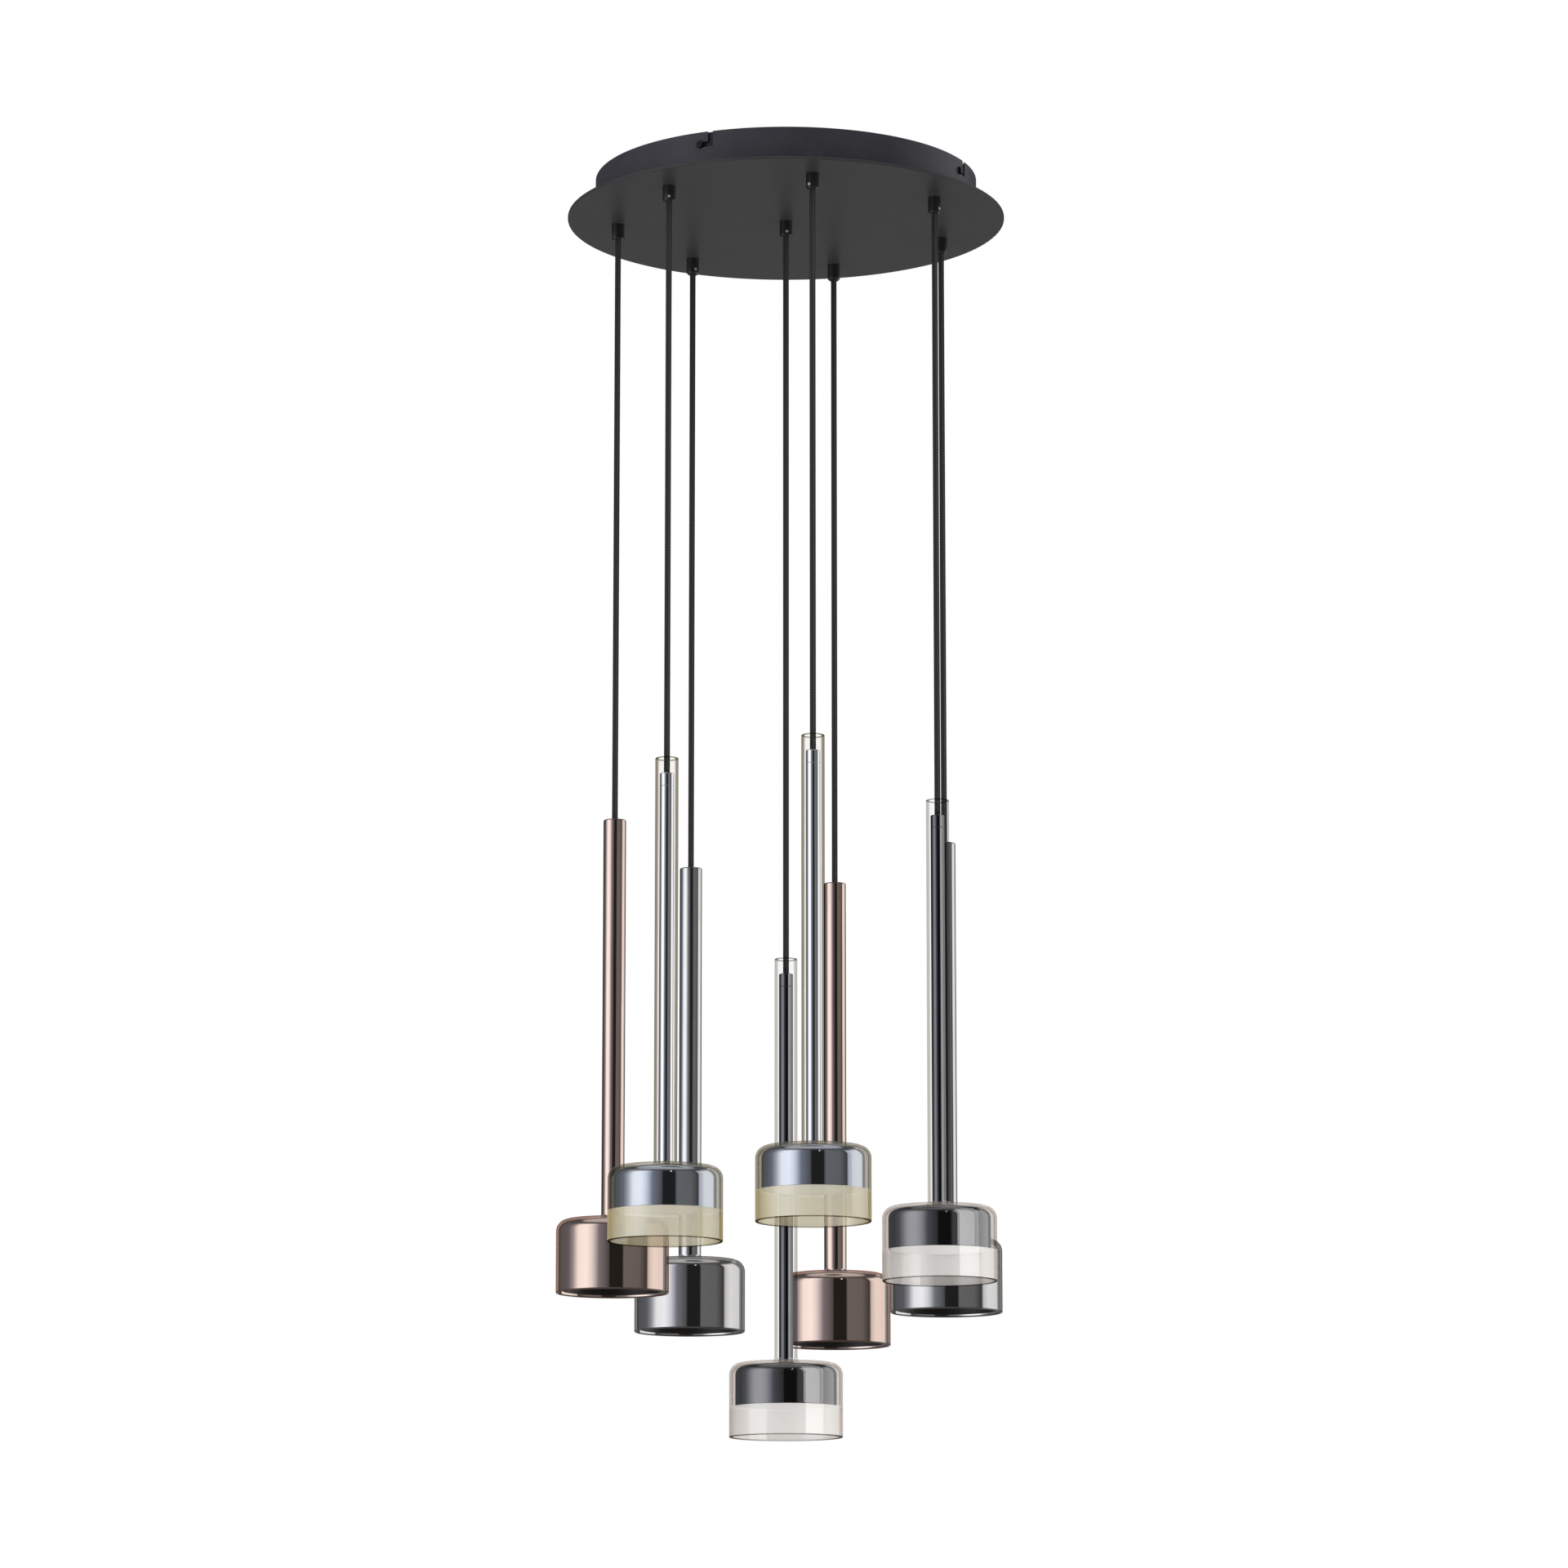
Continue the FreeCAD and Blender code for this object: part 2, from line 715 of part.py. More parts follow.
def earth_pieces():
    """Stud on the pan's floor with a washer and a nut."""
    stud_radius = "earth_stud_diameter / 2"
    x, y = polar(MIDWAY, EARTH_ANGLE)
    flange = primitive(
        "Cylinder",
        "earth_flange",
        Radius="earth_flange_diameter / 2",
        Height="earth_flange_thickness",
    )
    rod = primitive(
        "Cylinder", "earth_rod", Radius=stud_radius, Height="earth_stud_length"
    )
    stud = place(fuse("earth_stud", flange, rod), x, y, PAN_FLOOR)
    bore = f"{stud_radius} + thread_play"
    disc = primitive(
        "Cylinder",
        "earth_disc",
        Radius="earth_flange_diameter / 2",
        Height="earth_washer_thickness",
    )
    hole = primitive(
        "Cylinder", "earth_hole", Radius=bore, Height="earth_washer_thickness"
    )
    washer_level = f"{PAN_FLOOR} + earth_flange_thickness"
    washer = place(cut("earth_washer", disc, hole), x, y, washer_level)
    nut = hex_nut("earth_nut", "earth_nut_across_flats", "earth_nut_height", bore)
    place(nut, x, y, f"{washer_level} + earth_washer_thickness")
    return [stud, washer, nut]


# Pendants. Each piece's own frame has its origin on the cord's line, at the shade's rim.


def hang(piece, number):
    """Places a piece of a pendant at the height at which its glass hangs."""
    x, y = axis_of(number)
    return place(
        piece, x, y, f"{PLATE_UNDERSIDE} - drop_{number} - glass_length"
    )


def glass(number):
    """One piece of blown glass: a tube that opens into a shade, open below."""
    body = new_body(f"glass_{number}")
    tube, shade = "tube_diameter / 2", "shade_diameter / 2"
    tube_bore, shade_bore = f"{tube} - glass_wall", f"{shade} - glass_wall"
    roof, ceiling = "shade_height", "shade_height - glass_wall"
    profile = new_sketch(body, "XZ_Plane")
    corners = [(shade, "0"), (shade, roof), (tube, roof), (tube, "glass_length")]
    corners += [(tube_bore, "glass_length"), (tube_bore, ceiling)]
    outline(profile, corners + [(shade_bore, ceiling), (shade_bore, "0")])
    revolve(body, profile)
    round_edges(body, "shoulder_radius", ring_edge(shade, roof))
    round_edges(body, "shoulder_radius - glass_wall", ring_edge(shade_bore, ceiling))
    round_edges(body, "flare_radius", ring_edge(tube, roof))
    round_edges(body, "flare_radius + glass_wall", ring_edge(tube_bore, ceiling))
    for radius, level in (
        (shade, "0"),
        (shade_bore, "0"),
        (tube, "glass_length"),
        (tube_bore, "glass_length"),
    ):
        round_edges(body, "0.45 * glass_wall", ring_edge(radius, level))
    return hang(body, number)


def cup(number):
    """Spun metal light housing with a ledge over the diffuser, thinner below it."""
    body = new_body(f"cup_{number}")
    mouth = "deep_cup_rim" if number in MIRROR_PENDANTS else DIFFUSER_FACE
    ledge = f"{DIFFUSER_FACE} + diffuser_thickness"
    rebate = f"{CUP_BORE} + rebate_width"
    profile = new_sketch(body, "XZ_Plane")
    corners = [(CUP_RADIUS, mouth), (CUP_RADIUS, CUP_TOP), (STEM_RADIUS, CUP_TOP)]
    corners += [(STEM_RADIUS, CUP_CEILING), (CUP_BORE, CUP_CEILING), (CUP_BORE, ledge)]
    outline(profile, corners + [(rebate, ledge), (rebate, mouth)])
    revolve(body, profile)
    round_edges(body, "cup_shoulder", ring_edge(CUP_RADIUS, CUP_TOP))
    round_edges(body, "cup_shoulder - cup_wall", ring_edge(CUP_BORE, CUP_CEILING))
    return hang(body, number)


def led_board(number):
    """Round board against the cup's ceiling with a circle of light chips under it."""
    body = new_body(f"led_board_{number}")
    disc = new_sketch(body, "XY_Plane", CUP_CEILING)
    circle(disc, "0", "0", BOARD_RADIUS)
    pad(body, disc, "board_thickness", Reversed=True)
    face = f"{CUP_CEILING} - board_thickness"
    chip = new_sketch(body, "XY_Plane", face)
    half, reach = "chip_size / 2", f"{BOARD_RADIUS} - chip_inset"
    rectangle(chip, f"{reach} - {half}", f"{reach} + {half}", f"-{half}", half)
    first = pad(body, chip, "chip_height", Reversed=True)
    repeat(body, first, CHIP_COUNT)
    wires = new_sketch(body, "XY_Plane", CUP_CEILING)
    circle(wires, "0", "0", "board_bore / 2")
    pocket(body, wires, "2 * board_thickness")
    return hang(body, number)


def diffuser(number):
    """Opal disc against the cup's ledge. In a shallow cup it lies flush in the mouth."""
    body = new_body(f"diffuser_{number}")
    disc = new_sketch(body, "XY_Plane", DIFFUSER_FACE)
    radius = f"{CUP_BORE} + rebate_width - diffuser_play"
    circle(disc, "0", "0", radius)
    pad(body, disc, "diffuser_thickness")
    round_edges(body, "diffuser_edge", ring_edge(radius, DIFFUSER_FACE))
    return hang(body, number)


def stem_tube(number):
    rod = primitive(
        "Cylinder",
        f"stem_rod_{number}",
        Radius=STEM_RADIUS,
        Height=f"{CAP_BASE} - {CUP_CEILING}",
    )
    bore = primitive(
        "Cylinder",
        f"stem_bore_{number}",
        Radius=f"{STEM_RADIUS} - stem_wall",
        Height=f"{CAP_BASE} - {CUP_CEILING}",
    )
    place(rod, z=CUP_CEILING)
    place(bore, z=CUP_CEILING)
    return hang(cut(f"stem_tube_{number}", rod, bore), number)


def stem_cap(number):
    """Cap with a spigot in the stem below and a socket for the cord above."""
    body = new_body(f"stem_cap_{number}")
    wire, spigot = "wire_bore / 2", f"{STEM_RADIUS} - stem_wall - thread_play"
    socket_floor = f"{CAP_TOP} - cord_depth - sliding_play"
    foot, joint = f"{CAP_BASE} - cap_spigot", f"{CAP_BASE} + cap_joint"
    profile = new_sketch(body, "XZ_Plane")
    corners = [(wire, foot), (spigot, foot), (spigot, CAP_BASE)]
    corners += [(f"{STEM_RADIUS} - cap_joint", CAP_BASE), (STEM_RADIUS, joint)]
    corners += [(STEM_RADIUS, CAP_TOP), (GRIP_BORE, CAP_TOP)]
    outline(profile, corners + [(GRIP_BORE, socket_floor), (wire, socket_floor)])
    revolve(body, profile)
    round_edges(body, "cap_edge", ring_edge(STEM_RADIUS, CAP_TOP))
    return hang(body, number)


def hub_nut(number):
    """Small domed nut round the stem, on top of the cup."""
    body = new_body(f"hub_nut_{number}")
    bore, outer = f"{STEM_RADIUS} + thread_play", f"{STEM_RADIUS} + hub_nut_wall"
    crown = f"{CUP_TOP} + hub_nut_height"
    skirt = f"{CUP_TOP} + hub_nut_skirt"
    profile = new_sketch(body, "XZ_Plane")
    corners = [(bore, CUP_TOP), (outer, CUP_TOP), (outer, skirt)]
    outline(profile, corners + [(f"{bore} + hub_nut_land", crown), (bore, crown)])
    revolve(body, profile)
    round_edges(body, "hub_nut_skirt / 2", ring_edge(outer, skirt))
    return hang(body, number)


def cord(number):
    """Straight cord from its grip to the stem cap. Its top is domed at the pivot."""
    radius = "cord_diameter / 2"
    length = f"drop_{number} - {GRIP_MOUTH} + cap_recess + cord_depth"
    rod = primitive("Cylinder", f"cord_rod_{number}", Radius=radius, Height=length)
    place(rod, z=f"-({length})")
    dome = primitive("Sphere", f"cord_dome_{number}", Radius=radius)
    dome.Angle1 = 0
    x, y = axis_of(number)
    made = fuse(f"cord_{number}", rod, dome)
    return place(made, x, y, f"{PLATE_UNDERSIDE} - {GRIP_MOUTH}")


def stem(number):
    members = [stem_tube(number), stem_cap(number), hub_nut(number)]
    return group(f"stem_{number}", members)


nodes = [
    ceiling_bracket(),
    group("canopy_screws", [canopy_screw(index) for index in range(SCREW_COUNT)]),
    canopy_pan(),
    canopy_plate(),
    group("cord_grips", [cord_grip(number) for number in PENDANTS]),
    group("grub_screws", [grub_screw(number) for number in PENDANTS]),
    group("grip_nuts", [grip_nut(number) for number in PENDANTS]),
    group("cord_tails", [cord_tail(number) for number in PENDANTS]),
    wiring_hub(),
    led_driver(),
    group("driver_screws", [driver_screw(1, "-"), driver_screw(2, "+")]),
    group("earth_post", earth_pieces()),
]
for number in PENDANTS:
    for make in (cord, stem, cup, led_board, diffuser, glass):
        nodes.append(make(number))
doc.recompute()

failed = [o.Label for o in doc.Objects if {"Invalid", "Error"} & set(o.State)]
for node in nodes:
    shape = node.Shape
    if shape.isNull() or not shape.isValid() or not shape.Solids:
        failed.append(node.Label)
if failed:
    raise RuntimeError(f"these did not build: {sorted(set(failed))}")

os.makedirs("parts", exist_ok=True)
for node in nodes:
    node.Shape.exportStep(f"parts/{node.Label}.step")
    solids = node.Shape.Solids
    print(f"{node.Label}: {len(solids)} solids, {node.Shape.Volume / 1000:.2f} cm3")
for number in PENDANTS:
    length = value(f"drop_{number} - {GRIP_MOUTH} + cap_recess + cord_depth")
    print(f"cord_{number} hangs straight for {length:.0f} mm")
print(f"cord tails bend at {value('tail_bend'):.0f} mm")
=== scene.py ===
import math

import bmesh
import bpy
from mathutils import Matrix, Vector, noise


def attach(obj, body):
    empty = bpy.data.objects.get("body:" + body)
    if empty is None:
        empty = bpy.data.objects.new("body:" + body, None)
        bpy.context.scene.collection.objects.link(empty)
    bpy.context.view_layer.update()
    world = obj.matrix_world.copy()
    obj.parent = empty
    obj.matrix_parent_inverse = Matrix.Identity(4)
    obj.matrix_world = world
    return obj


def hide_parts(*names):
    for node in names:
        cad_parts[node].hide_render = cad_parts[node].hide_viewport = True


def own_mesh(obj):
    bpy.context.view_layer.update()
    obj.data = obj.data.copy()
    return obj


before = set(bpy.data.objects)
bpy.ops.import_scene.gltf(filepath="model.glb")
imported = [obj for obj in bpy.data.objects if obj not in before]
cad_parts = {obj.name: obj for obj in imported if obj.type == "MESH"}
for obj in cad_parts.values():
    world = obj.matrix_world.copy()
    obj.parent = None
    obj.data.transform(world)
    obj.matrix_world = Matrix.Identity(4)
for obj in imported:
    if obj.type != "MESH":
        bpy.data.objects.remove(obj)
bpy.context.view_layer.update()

# Cluster pendant: eight blown-glass pendants under one black canopy. The pendants are
# numbered as in the record.
FINISHES = {
    1: "copper",
    2: "champagne",
    3: "smoke",
    4: "clear",
    5: "champagne",
    6: "copper",
    7: "clear",
    8: "smoke",
}
MIRRORED = ("copper", "smoke")
METALS = {
    "copper": "copper_mirror_metal",
    "champagne": "chrome",
    "smoke": "smoke_chrome",
    "clear": "black_chrome",
}
MIDDLE = 4
MM = 0.001

# Sizes in millimetres, as in the part's source.
RING_RADIUS, RING_PHASE = 174, 21.6
RING_PLACES = {8: 0, 6: 1, 3: 2, 1: 3, 2: 4, 5: 5, 7: 6}
DROPS = {1: 625, 2: 587, 3: 653, 4: 769, 5: 572, 6: 665, 7: 622, 8: 640}
PLATE_UNDERSIDE = -42.2
GRIP_LENGTH = 17
GLASS_LENGTH, GLASS_WALL = 480, 2.3
TUBE_RADIUS, SHADE_RADIUS, SHADE_HEIGHT = 11.5, 56.5, 74
SHOULDER, FLARE = 12, 5
SEAT, SEAT_INNER, SEAT_OUTER = 0.6, 30, 38
CUP_RADIUS, CUP_HEIGHT, CUP_WALL, CUP_SHOULDER = 50.5, 40, 2.4, 9
DEEP_CUP_RIM = 2.5
REBATE, DIFFUSER = 1.2, 2.4
STEM_RADIUS, STEM_WALL = 7, 1
CAP_RECESS, CAP_LENGTH, CAP_EDGE, CAP_JOINT = 15.5, 13, 0.9, 0.4
PLUG_DEPTH, WIRE_HOLE_RADIUS = 5, 2
CORD_RADIUS, CORD_DEPTH, CORD_PLAY = 3, 6, 0.3
HUB_NUT_RADIUS, HUB_NUT_SKIRT, HUB_NUT_HEIGHT = 9, 1.4, 4.4
TAIL_START, SHANK_TOP, TAIL_LEVEL, TAIL_END = 3.4, 10, -17.7, 36.2
TAIL_BEND, CENTRE_TAIL_RISE = 34, 10

CUP_TOP = SHADE_HEIGHT - GLASS_WALL - SEAT
CAP_TOP = GLASS_LENGTH - CAP_RECESS
CAP_BASE = CAP_TOP - CAP_LENGTH
PIVOT = PLATE_UNDERSIDE - GRIP_LENGTH

# Of the scene alone: how far a blown surface wanders, how far a seat stops short of its
# glass and the milky part of a shade short of the cup's mouth, the band of painted
# shade above a mirror shade's rim, and a turned piece's broken edges.
WOBBLE, SEAT_GAP, VEIL_GAP, RIM_SHADE_BAND, BROKEN_EDGE = 0.04, 0.1, 0.7, 0.4, 0.2
VEIL_TOP = CUP_TOP - CUP_HEIGHT - VEIL_GAP

# Camera

FOCAL_LENGTH = 127.33
CAMERA_PLACE = (-0.002, -5.529, -1.6355)
UPWARD_TILT = 10.286
camera_data = bpy.data.cameras.new("camera")
camera_data.lens = FOCAL_LENGTH
camera_data.sensor_width = 36
camera_data.clip_end = 100
camera = bpy.data.objects.new("camera", camera_data)
camera.location = CAMERA_PLACE
camera.rotation_euler = (math.radians(90 + UPWARD_TILT), 0, 0)
bpy.context.collection.objects.link(camera)
bpy.context.scene.camera = camera
bpy.context.scene.view_settings.view_transform = "Standard"


class Wire:
    """A node's output, so that shader maths can be written as Python expressions."""

    def __init__(self, tree, socket=None):
        self.tree, self.socket = tree, socket

    def node(self, kind, settings=None, inputs=None, out=0):
        made = self.tree.nodes.new("ShaderNode" + kind)
        for name, setting in (settings or {}).items():
            if name == "stops":
                stops = made.color_ramp.elements
                while len(stops) < len(setting):
                    stops.new(1)
                for stop, (place, colour) in zip(stops, setting):
                    stop.position = place
                    stop.color = (*colour, 1)
            else:
                setattr(made, name, setting)
        for name, given in (inputs or {}).items():
            if isinstance(given, Wire):
                self.tree.links.new(given.socket, made.inputs[name])
            else:
                made.inputs[name].default_value = given
        return Wire(self.tree, made.outputs[out])

    def xyz(self):
        """The x, y and z of a vector."""
        split = self.node("SeparateXYZ", {}, {0: self}).socket.node
        return [Wire(self.tree, output) for output in split.outputs]

    def math(self, operation, *values):
        return self.node("Math", {"operation": operation}, dict(enumerate(values)))

    def mix(self, low, high):
        """low where the wire is 0 and high where it is 1, as colours or wires."""
        low, high = (
            (*end, 1) if isinstance(end, tuple) else end for end in (low, high)
        )
        return self.node(
            "Mix", {"data_type": "RGBA"}, {"Factor": self, 6: low, 7: high}, out=2
        )

    def between(self, low, high):
        """The wire brought from low..high to 0..1, smoothly, and held there."""
        return self.node(
            "MapRange",
            {"interpolation_type": "SMOOTHSTEP"},
            {"Value": self, "From Min": low, "From Max": high},
        )

    def __add__(self, other):
        return self.math("ADD", self, other)

    def __radd__(self, other):
        return self.math("ADD", other, self)

    def __sub__(self, other):
        return self.math("SUBTRACT", self, other)

    def __rsub__(self, other):
        return self.math("SUBTRACT", other, self)

    def __mul__(self, other):
        return self.math("MULTIPLY", self, other)

    def __rmul__(self, other):
        return self.math("MULTIPLY", other, self)

    def __gt__(self, other):
        return self.math("GREATER_THAN", self, other)


def grey(level):
    return (level, level, level)


# Studio

# What a mirror sees at eye level, by compass angle from the camera's side, positive to
# its right: soft panels between dark gaps.
STUDIO = [
    (-180, grey(0.35)),
    (-170, grey(0.3)),
    (-160, grey(0.05)),
    (-140, grey(0.13)),
    (-105, (0.15, 0.16, 0.19)),
    (-90, (0.40, 0.41, 0.45)),
    (-75, (1.20, 1.22, 1.25)),
    (-55, (1.30, 1.32, 1.35)),
    (-42, (0.95, 0.98, 1.05)),
    (-27, (0.24, 0.25, 0.29)),
    (-6, grey(0.10)),
    (-4, grey(0.02)),
    (23, grey(0.02)),
    (26, grey(0.18)),
    (60, grey(0.17)),
    (80, grey(0.05)),
    (84, grey(0.8)),
    (100, grey(1.1)),
    (137, grey(1.0)),
    (142, grey(0.05)),
    (160, grey(0.05)),
    (170, grey(0.3)),
    (180, grey(0.35)),
]

# Where the dark gap above the panels, the pale ceiling and the dim floor set in, as the
# upward or downward part of a direction.
GAP_ABOVE, CEILING, FLOOR = (0.5, 0.66), (0.78, 0.86), (0.6, 0.8)
LAMP_EAST, LAMP_UP, LAMP_REACH = 0.22, 0.42, 0.055

world = bpy.data.worlds.new("studio")
bpy.context.scene.world = world
world.use_nodes = True
world.cycles.sampling_method = "NONE"
sky = Wire(world.node_tree)
east, north, up = sky.node("TexCoord").xyz()
compass = sky.math("ARCTAN2", east, north * -1) * (1 / math.tau) + 0.5
room = sky.node(
    "ValToRGB",
    {"stops": [(angle / 360 + 0.5, colour) for angle, colour in STUDIO]},
    {"Fac": compass},
)
room = up.between(*GAP_ABOVE).mix(room, grey(0.10))
room = up.between(*CEILING).mix(room, grey(0.6))
off_lamp = sky.math("ABSOLUTE", east - LAMP_EAST) + sky.math("ABSOLUTE", up - LAMP_UP)
room = (LAMP_REACH - off_lamp).between(0, 0.02).mix(room, grey(3))
room = (up * -1).between(*FLOOR).mix(room, grey(0.15))
# Only mirrors see this room. Matt surfaces are lit by white, more from the left.
after_mirror = sky.node("LightPath", out="Glossy Depth") > 0.5
after_matt = sky.node("LightPath", out="Diffuse Depth") > 0.5
lighting = (0.5 - east * 0.5).mix(grey(0.66), grey(1.14))
seen = after_matt.mix(after_mirror.mix(grey(1), room), lighting)
world.node_tree.links.new(
    seen.socket, world.node_tree.nodes["Background"].inputs["Color"]
)

# Materials


def material(name, sockets, dress=None):
    """A node material. dress(start) returns what varies, as socket names and wires."""
    made = bpy.data.materials.new(name)
    made.use_nodes = True
    tree = made.node_tree
    shader = tree.nodes["Principled BSDF"]
    for socket, number in sockets.items():
        shader.inputs[socket].default_value = number
    if dress:
        for socket, wire in dress(Wire(tree)).items():
            tree.links.new(wire.socket, shader.inputs[socket])
    return made


def speckle(start, scale, detail=2):
    """Even noise from 0 to 1 in the object's own space."""
    place = start.node("TexCoord", out="Object")
    return start.node(
        "TexNoise", {}, {"Vector": place, "Scale": scale, "Detail": detail}
    )


def relief(height, distance, strength):
    """The normal of a surface raised by a wire, at most by the distance in metres."""
    return height.node(
        "Bump", {}, {"Height": height, "Distance": distance, "Strength": strength}
    )


def powder_coat(low, high):
    """Satin coat with a fine grain."""

    def dress(start):
        grain, cloud = speckle(start, 1400, 3), speckle(start, 35)
        tone = (grain * 0.7 + cloud * 0.3).between(0.3, 0.7)
        return {
            "Base Color": tone.mix(low, high),
            "Roughness": cloud * 0.10 + grain * 0.10 + 0.32,
            "Normal": relief(grain, 0.00006, 0.5),
        }

    return dress


def turned_black(start):
    """Black metal with fine marks of the lathe round its upright axis."""
    place = start.node("TexCoord", out="Object")
    flattened = start.node("Mapping", {}, {"Vector": place, "Scale": (20, 20, 9000)})
    rings = start.node("TexNoise", {}, {"Vector": flattened, "Scale": 1, "Detail": 2})
    return {
        "Base Color": rings.mix(grey(0.010), (0.018, 0.018, 0.019)),
        "Roughness": rings * 0.14 + 0.24,
        "Normal": relief(rings, 0.00001, 0.4),
    }


# HIGHLIGHT_TURN is where round each cord its painted highlight runs.
STRANDS, STRAND_PITCH, HIGHLIGHT_TURN = 8, 0.0029, 0.19


def braid(start):
    """Crossing strands, one over and one under, with a dotted painted highlight down
    one side. The map counts turns and metres."""
    turns, along, _ = start.node("UVMap", {"uv_map": "weave"}).xyz()
    left = (turns * STRANDS + along * (1 / STRAND_PITCH)) * math.pi
    right = (turns * STRANDS - along * (1 / STRAND_PITCH)) * math.pi
    one = start.math("ABSOLUTE", start.math("COSINE", left))
    other = start.math("ABSOLUTE", start.math("COSINE", right))
    over = start.math("SINE", left) * start.math("SINE", right) > 0
    height = over * one + (1 - over) * other
    fibres = speckle(start, 5200)
    weave = (height * 0.7 + fibres * 0.3).between(0.3, 0.95).mix(
        (0.012, 0.012, 0.013), (0.042, 0.042, 0.045)
    )
    # Painted highlight: a dotted lighter line on the raised strands at one turn of the
    # cord.
    off_highlight = start.math("ABSOLUTE", turns - HIGHLIGHT_TURN)
    painted_highlight = (1 - off_highlight.between(0.015, 0.03)) * height.between(0.5, 0.9)
    return {
        "Base Color": painted_highlight.mix(weave, (0.13, 0.13, 0.135)),
        "Roughness": 0.85 - height * 0.2,
        "Normal": relief(height + fibres * 0.25, 0.0002, 0.6),
    }


def machined(start):
    """Bare metal, finely roughened."""
    grain = speckle(start, 2600, 3)
    return {
        "Roughness": grain * 0.16 + 0.30,
        "Normal": relief(grain, 0.00001, 0.4),
    }


def moulded(low, high, rough=0.46):
    """Moulded plastic, or any plain surface of that kind."""

    def dress(start):
        grain, cloud = speckle(start, 1800), speckle(start, 60)
        return {
            "Base Color": cloud.mix(low, high),
            "Roughness": grain * 0.12 + rough,
            "Normal": relief(grain, 0.00004, 0.5),
        }

    return dress


def slant_of(start):
    """0 where a surface is seen straight on and 1 where it is seen edge-on."""
    return start.node("LayerWeight", {}, {"Blend": 0.5}, out="Facing")


def polished(low, high, edge=1.0):
    """Mirror with the faintest cloud in its polish. Where its surface turns away, it
    keeps only the edge's share of its brightness."""

    def dress(start):
        tone = speckle(start, 45, 3).mix(low, high)
        if edge < 1:
            slant = slant_of(start)
            dim = tuple(edge * (a + b) / 2 for a, b in zip(low, high))
            tone = slant.between(0.42, 0.62).mix(tone, dim)
        return {"Base Color": tone}

    return dress


def thickening(tint, slants):
    """A tinted wall's colours by its slant: the more it slants, the further the light
    goes in it."""
    return [(slant, [c ** (1 / (1 - slant)) for c in tint]) for slant in slants]


def blown(stops, shining):
    """Tinted glass, coloured by its slant. Its coat shines least seen edge-on."""

    def dress(start):
        cloud, ripple = speckle(start, 22), speckle(start, 60, 1)
        slant = slant_of(start)
        depth = slant + (cloud - 0.5) * 0.04
        sockets = {
            "Base Color": start.node("ValToRGB", {"stops": stops}, {"Fac": depth}),
            "Normal": relief(ripple, 0.0004, 0.06),
        }
        if shining:
            sockets["Coat Weight"] = 1 - slant.between(0.55, 0.9) * 0.7
        return sockets

    return dress


def satin_opal(start):
    grain, cloud = speckle(start, 2400), speckle(start, 40)
    return {
        "Base Color": cloud.mix((0.86, 0.85, 0.81), (0.93, 0.92, 0.88)),
        "Roughness": grain * 0.1 + 0.32,
        "Normal": relief(grain, 0.00002, 0.3),
    }


def solder_resist(start):
    grain, cloud = speckle(start, 3000), speckle(start, 80)
    return {
        "Base Color": cloud.mix((0.80, 0.81, 0.80), (0.90, 0.90, 0.88)),
        "Roughness": grain * 0.1 + 0.28,
        "Normal": relief(grain, 0.00002, 0.4),
    }


MIRROR = {"Metallic": 1.0, "Roughness": 0.0}
# Glass that doesn't bend what is seen through it.
THIN_GLASS = {"Roughness": 0.0, "Transmission Weight": 1.0, "IOR": 1.0}


def outer_glass(name, stops, shine, veil=0.0):
    """The outer face of a glass, with a shining coat. The veil is the share of it that
    isn't clear."""
    coat = {"Coat Weight": 1.0, "Coat Roughness": 0.0, "Coat IOR": shine}
    sockets = {**THIN_GLASS, "Transmission Weight": 1.0 - veil, **coat}
    return material(name, sockets, blown(stops, True))


def inner_glass(name, stops):
    return material(name, THIN_GLASS, blown(stops, False))


def mirror(name, low, high, edge=1.0):
    return material(name, MIRROR, polished(low, high, edge))


# A rim's painted shade: an opaque dark band.
def shaded_rim(name, low, high):
    return material(name, {}, moulded(low, high, 0.12))


THIN_EDGE = (0, 0.25, 0.45, 0.6, 0.7, 0.8)
DARK_EDGE = (*THIN_EDGE, 0.88)
CLEAR = thickening((0.925, 0.905, 0.89), THIN_EDGE)
CHAMPAGNE = [
    (0, (0.90, 0.87, 0.78)),
    (0.45, (0.80, 0.77, 0.67)),
    (0.62, (0.58, 0.55, 0.46)),
    (0.78, (0.42, 0.39, 0.32)),
]
# The tubes' walls darken beyond their bores.
CLEAR_TUBE = [(0.24, grey(0.96)), (0.42, (0.52, 0.50, 0.49))]
CHAMPAGNE_TUBE = [(0.24, (0.95, 0.94, 0.92)), (0.42, (0.27, 0.24, 0.19))]
SMOKE = thickening((0.76, 0.75, 0.74), DARK_EDGE)
COPPER = thickening((0.84, 0.74, 0.70), DARK_EDGE)
GLASS = {
    "clear": outer_glass("clear_glass", CLEAR, 1.97),
    "champagne": outer_glass("champagne_glass", CHAMPAGNE, 2.2),
    "smoke": outer_glass("smoke_glass", SMOKE, 1.79),
    "copper": outer_glass("copper_glass", COPPER, 1.79),
}
# The smoke and copper shades are silvered on the inside.
INSIDES = {
    "clear": inner_glass("clear_inside", CLEAR),
    "champagne": inner_glass("champagne_inside", CHAMPAGNE),
    "smoke": mirror("silvered_smoke_inside", (0.68, 0.67, 0.67), (0.74, 0.73, 0.73)),
    "copper": mirror("silvered_copper_inside", (0.80, 0.64, 0.57), (0.85, 0.69, 0.61)),
}
# Below the cup, the clear and champagne shades are a little milky.
MILKINESS = 0.6
VEILED_CHAMPAGNE = thickening((0.86, 0.81, 0.66), (0, 0.3, 0.5, 0.65))
BELOW_CUP = {
    **GLASS,
    "clear": outer_glass("veiled_clear", CLEAR, 1.97, MILKINESS),
    "champagne": outer_glass("veiled_champagne", VEILED_CHAMPAGNE, 2.2, MILKINESS),
}

